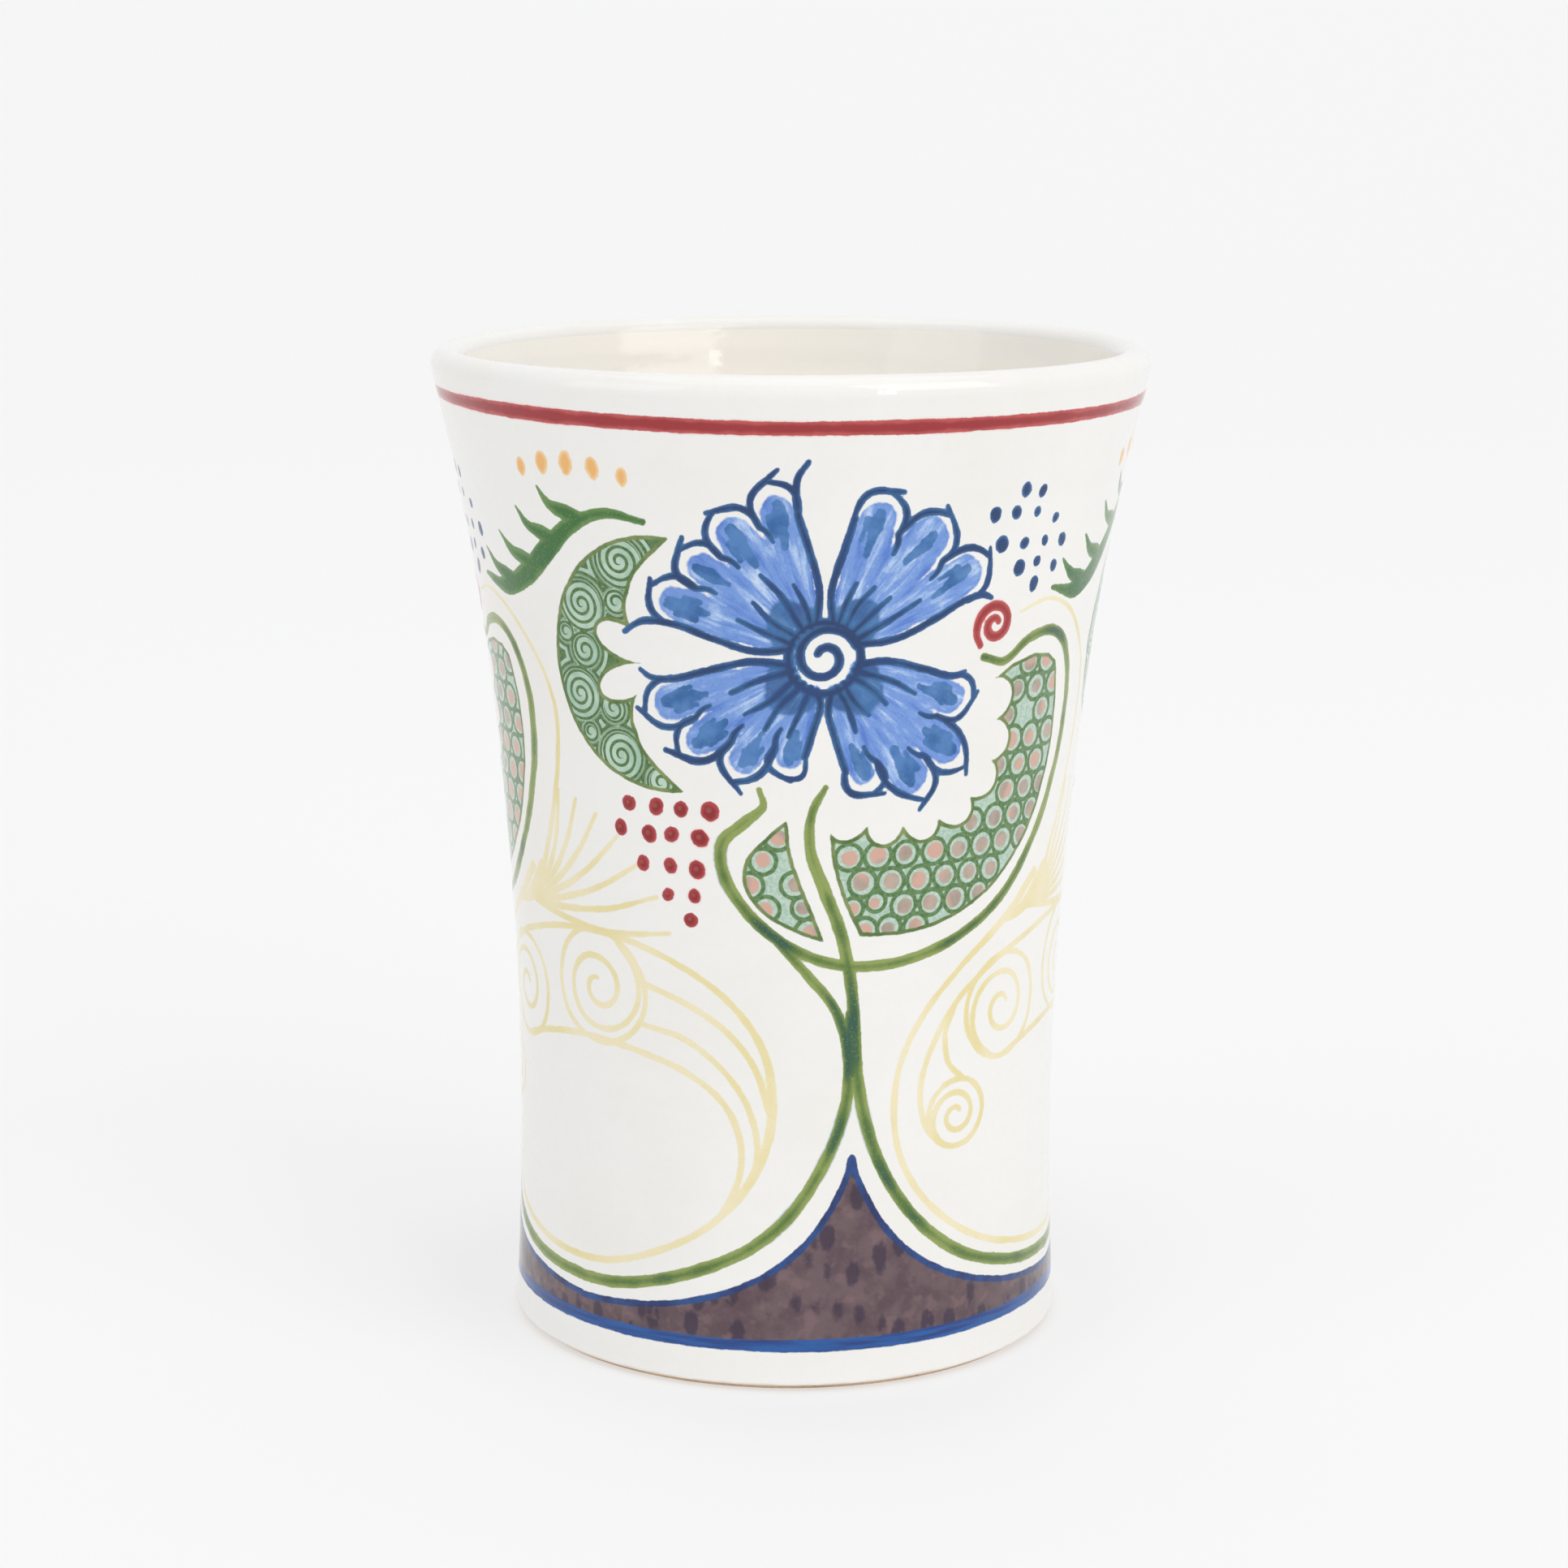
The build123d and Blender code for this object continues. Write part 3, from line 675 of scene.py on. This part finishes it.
profile = np.concatenate([under, clay_out, crown[1:-1], clay_in, clay_fil, [(10.0, FLOOR_Z - GLAZE), (0.0, FLOOR_Z - GLAZE)]])
profile[0, 0] = profile[-1, 0] = 0.02
NTC = 256
tc_ = np.arange(NTC) * 2 * math.pi / NTC
ro, uo = hand(tc_[None], profile[:, 1:2])
fade = np.clip(profile[:, 0:1] / 20, 0, 1) * np.clip((profile[:, 1:2] - 0.6) / 3, 0, 1)
foot = np.exp(-((profile[:, 1:2]) / 0.5) ** 2) * (profile[:, 0:1] > 27.5)
rough_foot = 0.02 * np.sin(tc_[None] * 23 + profile[:, 0:1] * 5) * np.sin(tc_[None] * 41 + 1) * foot * (profile[:, 1:2] > 0.02)
pos_c = xyz(profile[:, 0:1] + ro * fade + rough_foot, tc_[None], profile[:, 1:2] + uo * (profile[:, 1:2] > 4))
clay = grid_mesh("clay_wall_and_foot", pos_c, None, True)
clay.data.shade_smooth()

# --- underside glaze: a shallow disc in the recess of the foot
und = resample([(0.02, 1.5), (24.6, 1.5), (25.6, 1.53), (26.1, 1.62), (26.3, 1.76)], 0.4)[0]
tu = np.arange(180) * 2 * math.pi / 180
swirl = 0.02 * np.sin(und[:, 0:1] * 1.3 + tu[None]) * np.clip(und[:, 0:1] / 5, 0, 1) * np.clip((24 - und[:, 0:1]) / 3, 0, 1)
pos_u = xyz(und[:, 0:1] + 0 * tu[None], tu[None], und[:, 1:2] + swirl)
underside = grid_mesh("glaze_underside", pos_u[::1], None, True)
underside.data.shade_smooth()


# ------------------------------------------------------------------ materials
def lin(c):
    c = c / 255.0
    return c / 12.92 if c <= 0.04045 else ((c + 0.055) / 1.055) ** 2.4


def paint(r, g, b, gain=0.84):
    """Base colour that reads as this sRGB value on the lit beaker, where 242 is white glaze."""
    return tuple(min(0.95, max(0.004, (lin(c) / lin(242) - 0.035) / 0.965 * gain)) for c in (r, g, b)) + (1.0,)


class Graph:
    def __init__(self, name):
        self.mat = bpy.data.materials.new(name)
        self.mat.use_nodes = True
        self.t = self.mat.node_tree
        self.t.nodes.clear()
        self.out = self.t.nodes.new("ShaderNodeOutputMaterial")
        self.bsdf = self.t.nodes.new("ShaderNodeBsdfPrincipled")
        self.t.links.new(self.bsdf.outputs[0], self.out.inputs[0])

    def put(self, socket, value):
        if isinstance(value, bpy.types.NodeSocket):
            self.t.links.new(value, socket)
        else:
            socket.default_value = value

    def math(self, op, a, b=0.0, c=0.0, clamp=False):
        n = self.t.nodes.new("ShaderNodeMath")
        n.operation, n.use_clamp = op, clamp
        for s, v in zip(n.inputs, (a, b, c)):
            self.put(s, v)
        return n.outputs[0]

    def add(self, a, b): return self.math("ADD", a, b)
    def sub(self, a, b): return self.math("SUBTRACT", a, b)
    def mul(self, a, b): return self.math("MULTIPLY", a, b)
    def mad(self, a, b, c): return self.math("MULTIPLY_ADD", a, b, c)

    def step(self, v, lo, hi, to0=0.0, to1=1.0):
        n = self.t.nodes.new("ShaderNodeMapRange")
        n.interpolation_type = "SMOOTHSTEP"
        for s, x in zip(n.inputs, (v, lo, hi, to0, to1)):
            self.put(s, x)
        return n.outputs[0]

    def mix(self, fac, a, b, kind="MIX"):
        n = self.t.nodes.new("ShaderNodeMix")
        n.data_type, n.blend_type, n.clamp_factor = "RGBA", kind, True
        self.put(n.inputs[0], fac)
        self.put(n.inputs[6], a)
        self.put(n.inputs[7], b)
        return n.outputs[2]

    def noise(self, vec, scale, detail=2.0, rough=0.5, dist=0.0):
        n = self.t.nodes.new("ShaderNodeTexNoise")
        self.put(n.inputs["Vector"], vec)
        n.inputs["Scale"].default_value = scale
        n.inputs["Detail"].default_value = detail
        n.inputs["Roughness"].default_value = rough
        n.inputs["Distortion"].default_value = dist
        return n.outputs["Fac"]

    def voronoi(self, vec, scale, feature="F1", out="Distance", random=1.0):
        n = self.t.nodes.new("ShaderNodeTexVoronoi")
        n.feature = feature
        self.put(n.inputs["Vector"], vec)
        n.inputs["Scale"].default_value = scale
        n.inputs["Randomness"].default_value = random
        return n.outputs[out]

    def attr(self, name):
        n = self.t.nodes.new("ShaderNodeAttribute")
        n.attribute_name = name
        s = self.t.nodes.new("ShaderNodeSeparateXYZ")
        self.t.links.new(n.outputs["Vector"], s.inputs[0])
        return s.outputs[0], s.outputs[1], s.outputs[2], n.outputs["Vector"]

    def vec(self, x, y, z):
        n = self.t.nodes.new("ShaderNodeCombineXYZ")
        for s, v in zip(n.inputs, (x, y, z)):
            self.put(s, v)
        return n.outputs[0]

    def where(self):
        """The piece's own coordinates, in mm."""
        n = self.t.nodes.new("ShaderNodeTexCoord")
        m = self.t.nodes.new("ShaderNodeVectorMath")
        m.operation = "SCALE"
        m.inputs["Scale"].default_value = 1000.0
        self.t.links.new(n.outputs["Object"], m.inputs[0])
        return m.outputs[0]

    def split(self, vec):
        s = self.t.nodes.new("ShaderNodeSeparateXYZ")
        self.t.links.new(vec, s.inputs[0])
        return s.outputs

    def stretch(self, vec, sx, sy, sz):
        m = self.t.nodes.new("ShaderNodeVectorMath")
        m.operation = "MULTIPLY"
        self.t.links.new(vec, m.inputs[0])
        m.inputs[1].default_value = (sx, sy, sz)
        return m.outputs[0]

    def bump(self, height, strength, distance):
        n = self.t.nodes.new("ShaderNodeBump")
        n.inputs["Strength"].default_value = strength
        n.inputs["Distance"].default_value = distance
        self.t.links.new(height, n.inputs["Height"])
        return n.outputs[0]


def glaze_surface(g, coat=1.0):
    b = g.bsdf.inputs
    b["Roughness"].default_value = 0.42
    b["IOR"].default_value = 1.5
    b["Specular IOR Level"].default_value = 0.05
    b["Coat Weight"].default_value = coat
    b["Coat Roughness"].default_value = 0.07
    b["Coat IOR"].default_value = 1.5
    return b


WHITE = paint(243, 242, 239)
WARM = paint(238, 233, 224)


def white_glaze(g, p):
    """Thick white glaze: faint clouding, a few pinholes and kiln specks."""
    cloud = g.noise(p, 0.045, 3.0, 0.55)
    c = g.mix(g.mul(g.step(cloud, 0.42, 0.70), 0.35), WHITE, WARM)
    fine = g.noise(p, 0.9, 3.0, 0.6)
    c = g.mix(g.mul(g.step(fine, 0.35, 0.75), 0.06), c, paint(222, 220, 214))
    spot = g.voronoi(p, 0.085, "F1", "Distance")
    speck = g.math("MULTIPLY", g.step(spot, 0.020, 0.012), g.step(g.noise(p, 0.03, 1.0), 0.50, 0.56))
    return g.mix(g.mul(speck, 0.75), c, paint(150, 126, 96))


def outside_material():
    g = Graph("painted_glaze")
    p = g.where()
    navy, green, red, _ = g.attr("p1")
    yellow, orange, bline, _ = g.attr("p2")
    wash, spot, deep, _ = g.attr("p3")
    leafl, leafr, brown, _ = g.attr("p4")
    cx, cy, cr, _ = g.attr("p5")
    ps, pc, ph, _ = g.attr("p6")
    foot, redm, z, _ = g.attr("p7")
    beyond, core, proud, _ = g.attr("p8")
    # how paint wanders into the glaze at its edges, mm
    e1, e2 = g.noise(p, 1.5, 3.0, 0.6), g.noise(p, 0.45, 2.0, 0.5)
    wander = g.add(g.mad(e1, 0.20, -0.10), g.mad(e2, 0.24, -0.12))
    soft_edge = g.add(g.mad(e1, 0.44, -0.22), g.mad(e2, 0.8, -0.4))

    def mask(f, soft=0.08, edge=None, grow=0.0):
        return g.step(g.add(g.add(f, edge or wander), grow), soft, -soft)

    c = white_glaze(g, p)
    tone = g.noise(p, 0.32, 3.0, 0.6)
    grain = g.noise(p, 2.4, 2.0, 0.6)

    # blue wash: streaks that run out from the heart of the blossom
    ring = g.vec(g.mul(ps, 7.0), g.mul(pc, 7.0), g.mul(ph, 0.14))
    streak = g.noise(ring, 1.25, 4.0, 0.62)
    streak2 = g.noise(g.vec(g.mul(ps, 22.0), g.mul(pc, 22.0), g.mul(ph, 0.10)), 1.0, 2.0, 0.6)
    depth = g.step(g.mul(wash, -1.0), -0.1, 1.7)
    s = g.add(g.add(g.mul(streak, 0.85), g.mul(streak2, 0.30)), g.mul(tone, 0.25))
    s = g.add(s, g.mul(g.step(depth, 0.0, 0.35), -0.05))
    wc = g.mix(g.step(s, 0.50, 0.66), paint(174, 200, 238), paint(122, 157, 220))
    wc = g.mix(g.step(s, 0.66, 0.86), wc, paint(92, 128, 206))
    wc = g.mix(g.mul(g.step(s, 0.54, 0.43), 0.88), wc, paint(216, 228, 244))
    wc = g.mix(g.mul(g.step(g.noise(p, 4.5, 2.0, 0.6), 0.54, 0.70), 0.34), wc, paint(78, 106, 186))
    c = g.mix(mask(wash, 0.16, soft_edge), c, wc)
    dc = g.mix(g.step(tone, 0.35, 0.65), paint(66, 116, 168), paint(40, 86, 138))
    c = g.mix(g.mul(mask(deep, 0.28, soft_edge), 0.86), c, dc)
    sc = g.mix(g.step(tone, 0.35, 0.68), paint(84, 130, 186), paint(50, 100, 156))
    c = g.mix(g.mul(mask(spot, 0.10, soft_edge), 0.93), c, sc)

    # yellow scrolls
    yc = g.mix(g.step(g.noise(p, 0.10, 2.0), 0.35, 0.66), paint(242, 231, 194), paint(233, 219, 160))
    yc = g.mix(g.mul(g.step(grain, 0.5, 0.7), 0.2), yc, paint(224, 208, 142))
    c = g.mix(g.mul(mask(yellow, 0.12), 0.93), c, yc)

    # leaves: rounds and coils on teal, with a green edge
    rad = g.math("SQRT", g.add(g.mul(cx, cx), g.mul(cy, cy)))
    ang = g.math("ARCTAN2", cy, cx)
    teal = g.mix(g.step(tone, 0.35, 0.68), paint(190, 215, 196), paint(162, 194, 173))
    net = g.mix(g.step(grain, 0.35, 0.70), paint(112, 142, 98), paint(84, 118, 72))
    dark = g.mix(g.step(grain, 0.35, 0.70), paint(102, 132, 88), paint(78, 110, 66))
    edge_l = g.mix(g.step(tone, 0.30, 0.70), paint(136, 152, 98), paint(88, 118, 66))
    turn = g.add(g.math("DIVIDE", rad, 0.98), g.math("DIVIDE", ang, 2 * math.pi))
    wave_ = g.math("ABSOLUTE", g.sub(g.math("FRACT", turn), 0.5))
    coil_line = g.mul(g.step(g.add(g.mul(wave_, 0.98), g.mul(wander, 0.5)), 0.25, 0.33), g.step(rad, 0.24, 0.40))
    w4 = g.mul(wander, 0.5)
    coils = g.mul(coil_line, g.step(g.add(beyond, w4), -0.20, -0.34))
    rings = g.step(g.math("ABSOLUTE", g.add(beyond, w4)), 0.23, 0.12)
    gap = g.mul(g.step(beyond, 0.30, 0.45), g.step(g.math("ABSOLUTE", g.sub(g.math("FRACT", g.math("DIVIDE", g.sub(beyond, 0.2), 0.85)), 0.5)), 0.20, 0.30))
    gap = g.mul(gap, g.step(g.add(beyond, w4), 1.6, 1.2))
    leaf_l = g.mix(g.math("MAXIMUM", g.math("MAXIMUM", coils, rings), g.math("SUBTRACT", g.step(beyond, 0.22, 0.34), g.step(gap, 0.15, 0.6), clamp=True)), teal, dark)
    leaf_l = g.mix(g.step(g.add(leafl, wander), -0.56, -0.40), leaf_l, edge_l)
    c = g.mix(mask(leafl, 0.08), c, leaf_l)

    pinker = g.noise(p, 0.17, 1.0)
    pebble = g.mix(g.step(pinker, 0.46, 0.56), g.mix(g.step(tone, 0.36, 0.66), paint(190, 172, 158), paint(166, 152, 140)), paint(212, 172, 156))
    ring_c = g.mix(g.step(grain, 0.3, 0.7), paint(200, 218, 206), paint(168, 198, 180))
    leaf_r = g.mix(g.step(g.add(core, g.mul(soft_edge, 0.5)), -0.10, 0.12), pebble, ring_c)
    leaf_r = g.mix(g.step(g.add(beyond, w4), -0.23, -0.11), leaf_r, net)
    leaf_r = g.mix(g.mul(g.step(g.add(beyond, w4), 0.28, 0.40), 0.95), leaf_r, ring_c)
    leaf_r = g.mix(g.step(g.add(leafr, wander), -0.52, -0.38), leaf_r, edge_l)
    c = g.mix(mask(leafr, 0.08), c, leaf_r)

    # brown ground with long dark brush marks
    gc = g.mix(g.step(tone, 0.34, 0.68), paint(113, 95, 99), paint(96, 79, 85))
    dab = g.add(g.voronoi(g.stretch(p, 0.42, 0.42, 0.22), 1.0, "F1", "Distance", 0.9), g.mad(e1, 0.26, -0.13))
    gc = g.mix(g.mul(g.step(dab, 0.47, 0.30), 0.80), gc, paint(68, 58, 74))
    gc = g.mix(g.mul(g.step(g.noise(p, 0.5, 2.0, 0.5), 0.54, 0.68), 0.42), gc, paint(138, 112, 114))
    gc = g.mix(g.mul(g.step(grain, 0.6, 0.75), 0.3), gc, paint(84, 72, 82))
    c = g.mix(mask(brown, 0.12), c, gc)

    # green stems: dark core, olive where the paint thins at the edge, blue where it ran
    far = g.noise(p, 0.085, 2.0)
    thick = g.step(g.add(g.add(g.mul(green, -1.0), g.mad(tone, 0.8, -0.40)), g.mad(far, 2.4, -1.25)), -0.05, 0.75)
    vc = g.mix(thick, paint(146, 162, 94), paint(94, 122, 68))
    vc = g.mix(g.mul(g.step(far, 0.52, 0.64), g.mul(g.step(green, -0.12, -0.55), 0.85)), vc, paint(54, 90, 82))
    vc = g.mix(g.mul(g.step(z, 91.0, 93.0), 0.85), vc, g.mix(thick, paint(98, 140, 84), paint(60, 112, 60)))
    vc = g.mix(g.mul(g.step(g.noise(p, 4.0, 2.0), 0.56, 0.70), 0.30), vc, paint(160, 174, 120))
    run = g.mul(mask(green, 0.10, wander, -0.14), g.step(g.noise(p, 0.10, 1.0), 0.60, 0.68))
    c = g.mix(g.mul(run, 0.45), c, paint(120, 172, 196))
    c = g.mix(mask(green), c, vc)

    oc = g.mix(g.step(g.add(g.mul(orange, -1.0), g.mad(tone, 0.6, -0.3)), 0.05, 0.55), paint(244, 210, 158), paint(240, 184, 118))
    c = g.mix(mask(orange, 0.10), c, oc)

    bc = g.mix(g.step(tone, 0.34, 0.66), paint(56, 86, 142), paint(52, 62, 106))
    c = g.mix(mask(bline), c, bc)
    fstreak = g.noise(g.stretch(p, 0.10, 0.10, 1.6), 1.0, 3.0, 0.6)
    fc = g.mix(g.step(fstreak, 0.36, 0.64), paint(38, 74, 132), paint(54, 98, 164))
    c = g.mix(mask(foot, 0.10), c, fc)

    nthick = g.step(g.add(g.mul(navy, -1.0), g.mad(tone, 0.7, -0.35)), 0.02, 0.42)
    nc = g.mix(nthick, paint(66, 110, 158), paint(28, 72, 112))
    nc = g.mix(g.mul(g.step(g.noise(p, 0.20, 2.0), 0.52, 0.68), 0.6), nc, paint(50, 80, 130))
    c = g.mix(mask(navy), c, nc)

    rthick = g.step(g.add(g.mul(red, -1.0), g.mad(tone, 0.8, -0.40)), 0.05, 0.60)
    rc = g.mix(rthick, paint(196, 92, 92), paint(160, 62, 65))
    rc = g.mix(g.mul(g.step(redm, 1.0, 0.6), 0.85), rc, g.mix(rthick, paint(176, 70, 74), paint(140, 38, 44)))
    rc = g.mix(g.mul(g.step(redm, 0.03, -0.12), 0.35), rc, paint(190, 108, 108))
    halo = g.mul(mask(red, 0.14, wander, -0.16), g.step(g.noise(p, 0.10, 1.0), 0.46, 0.60))
    c = g.mix(g.mul(halo, 0.30), c, paint(240, 190, 184))
    c = g.mix(mask(red), c, rc)

    # glaze thins on the foot's edge and shows a little clay
    c = g.mix(g.mul(g.step(g.add(z, g.mad(e2, 0.5, -0.25)), 1.15, 0.80), 0.55), c, paint(214, 190, 164))
    b = glaze_surface(g)
    g.t.links.new(c, b["Base Color"])
    peel = g.add(g.mul(g.noise(p, 0.55, 2.0, 0.5), 1.0), g.mul(g.noise(p, 2.2, 1.0, 0.5), 0.25))
    n = g.bump(peel, 0.10, 0.00025)
    g.t.links.new(n, b["Normal"])
    g.t.links.new(g.bump(peel, 0.14, 0.00025), b["Coat Normal"])
    g.t.links.new(g.step(tone, 0.3, 0.7, 0.38, 0.47), b["Roughness"])
    return g.mat


def inside_material():
    g = Graph("inside_glaze_cream")
    p = g.where()
    c = white_glaze(g, p)
    x, y, z = g.split(p)
    ripple = g.noise(g.stretch(p, 0.02, 0.02, 0.35), 1.0, 2.0, 0.5)
    c = g.mix(g.add(g.mul(g.step(ripple, 0.35, 0.7), 0.30), 0.60), c, paint(243, 236, 227, 0.96))
    # painted shade: the inside glaze is mixed a little darker from 40 mm down to the floor, deep in the cup
    c = g.mix(g.mul(g.step(z, 40.0, 5.0), 0.35), c, paint(238, 231, 220, 0.9))
    b = glaze_surface(g)
    g.t.links.new(c, b["Base Color"])
    peel = g.noise(p, 0.5, 2.0, 0.5)
    g.t.links.new(g.bump(peel, 0.10, 0.00025), b["Normal"])
    g.t.links.new(g.bump(peel, 0.12, 0.00025), b["Coat Normal"])
    return g.mat


def underside_material():
    g = Graph("underside_glaze_cream")
    p = g.where()
    c = g.mix(0.55, white_glaze(g, p), paint(236, 226, 210))
    b = glaze_surface(g)
    g.t.links.new(c, b["Base Color"])
    g.t.links.new(g.bump(g.noise(p, 0.4, 3.0, 0.5), 0.18, 0.0003), b["Normal"])
    return g.mat


def clay_material():
    g = Graph("bare_stoneware")
    p = g.where()
    grit = g.noise(p, 1.8, 5.0, 0.65)
    big = g.noise(p, 0.12, 3.0, 0.6)
    c = g.mix(g.step(big, 0.36, 0.66), paint(212, 184, 154), paint(196, 164, 132))
    c = g.mix(g.mul(g.step(grit, 0.42, 0.66), 0.55), c, paint(178, 146, 114))
    iron = g.step(g.voronoi(p, 0.9, "F1", "Distance"), 0.16, 0.08)
    c = g.mix(g.mul(iron, g.mul(g.step(g.noise(p, 0.35, 1.0), 0.50, 0.58), 0.7)), c, paint(112, 82, 58))
    b = g.bsdf.inputs
    g.t.links.new(c, b["Base Color"])
    g.t.links.new(g.step(grit, 0.3, 0.7, 0.78, 0.92), b["Roughness"])
    b["Specular IOR Level"].default_value = 0.30
    g.t.links.new(g.bump(g.add(g.mul(grit, 1.0), g.mul(g.noise(p, 5.0, 2.0), 0.4)), 0.45, 0.0002), b["Normal"])
    return g.mat


mat_out, mat_in, mat_under, mat_clay = outside_material(), inside_material(), underside_material(), clay_material()
for o in panels:
    o.data.materials.append(mat_out)
inside.data.materials.append(mat_in)
clay.data.materials.append(mat_clay)
underside.data.materials.append(mat_under)

# ------------------------------------------------------------------ onto the frame
for o in panels:
    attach(o, "root")
    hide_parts("outside_glaze", "red_rim_line", "blue_foot_line", "brown_ground")
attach(inside, "root")
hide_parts("inside_glaze")
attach(clay, "root")
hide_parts("clay_body")
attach(underside, "root")
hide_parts("underside_glaze")


# ------------------------------------------------------------------ stage
def plain(name, rgb, rough, glow):
    g = Graph(name)
    p = g.where()
    g.t.links.new(g.mix(g.mul(g.step(g.noise(p, 0.01, 2.0), 0.35, 0.65), 0.02), rgb, (0.35, 0.35, 0.35, 1)), g.bsdf.inputs["Base Color"])
    g.bsdf.inputs["Roughness"].default_value = rough
    g.bsdf.inputs["Specular IOR Level"].default_value = 0.05
    g.bsdf.inputs["Emission Color"].default_value = (1.0, 1.0, 1.0, 1)
    g.bsdf.inputs["Emission Strength"].default_value = glow
    return g.mat


def sweep():
    """Floor that turns up behind into a backdrop."""
    line = [(-1.6, 0.0), (0.9, 0.0)] + [(0.9 + 0.5 * math.sin(a), 0.5 - 0.5 * math.cos(a)) for a in np.linspace(0.05, math.pi / 2, 24)] + [(1.4, 2.2)]
    xs = np.linspace(-2.6, 2.6, 9)
    pos = np.array([[(x, y, z) for x in xs] for y, z in line])
    o = grid_mesh("floor_and_backdrop", pos, None, False)
    o.data.materials.append(plain("stage_white", (0.37, 0.37, 0.37, 1), 0.8, 0.546))
    return o


sweep()

world = bpy.data.worlds.new("studio")
bpy.context.scene.world = world
world.use_nodes = True
bg = world.node_tree.nodes["Background"]
bg.inputs[0].default_value = (0.985, 0.99, 1.0, 1)
bg.inputs[1].default_value = 0.77


def area(name, loc, target, size, size_y, power, color):
    l = bpy.data.lights.new(name, "AREA")
    l.shape, l.size, l.size_y, l.energy, l.color = "RECTANGLE", size, size_y, power, color
    o = bpy.data.objects.new(name, l)
    bpy.context.scene.collection.objects.link(o)
    o.location = loc
    o.rotation_euler = (Vector(target) - Vector(loc)).to_track_quat("-Z", "Y").to_euler()


area("key_right", (1.3, -1.1, 1.3), (0, 0, 0.06), 1.4, 1.4, 10.4, (1.0, 0.99, 0.97))
area("top", (0.0, 0.0, 1.7), (0, 0, 0.06), 1.8, 1.8, 4.8, (1.0, 1.0, 1.0))
area("fill_left", (-1.4, -0.9, 0.8), (0, 0, 0.06), 1.2, 1.2, 3.2, (1.0, 1.0, 1.0))
area("strip", (0.60, -1.05, 0.26), (0, 0, 0.09), 0.10, 0.55, 0.75, (1.0, 1.0, 1.0))

cam = bpy.data.cameras.new("camera")
cam.sensor_fit, cam.sensor_width, cam.lens = "AUTO", 36.0, 83.81
cam.clip_start, cam.clip_end = 0.01, 20
cam_obj = bpy.data.objects.new("camera", cam)
bpy.context.scene.collection.objects.link(cam_obj)
fwd = Vector((-0.0011869, 0.97819057, -0.20770606))
right = Vector((0.99997234, 0.00268606, 0.00693582))
upv = Vector((-0.00734246, 0.20769208, 0.9781667))
m = Matrix((right, upv, -fwd)).transposed().to_4x4()
m.translation = Vector((0.0, -0.43892, 0.15917))
cam_obj.matrix_world = m
bpy.context.scene.camera = cam_obj
bpy.context.scene.view_settings.view_transform = "Standard"
bpy.context.scene.view_settings.look = "None"
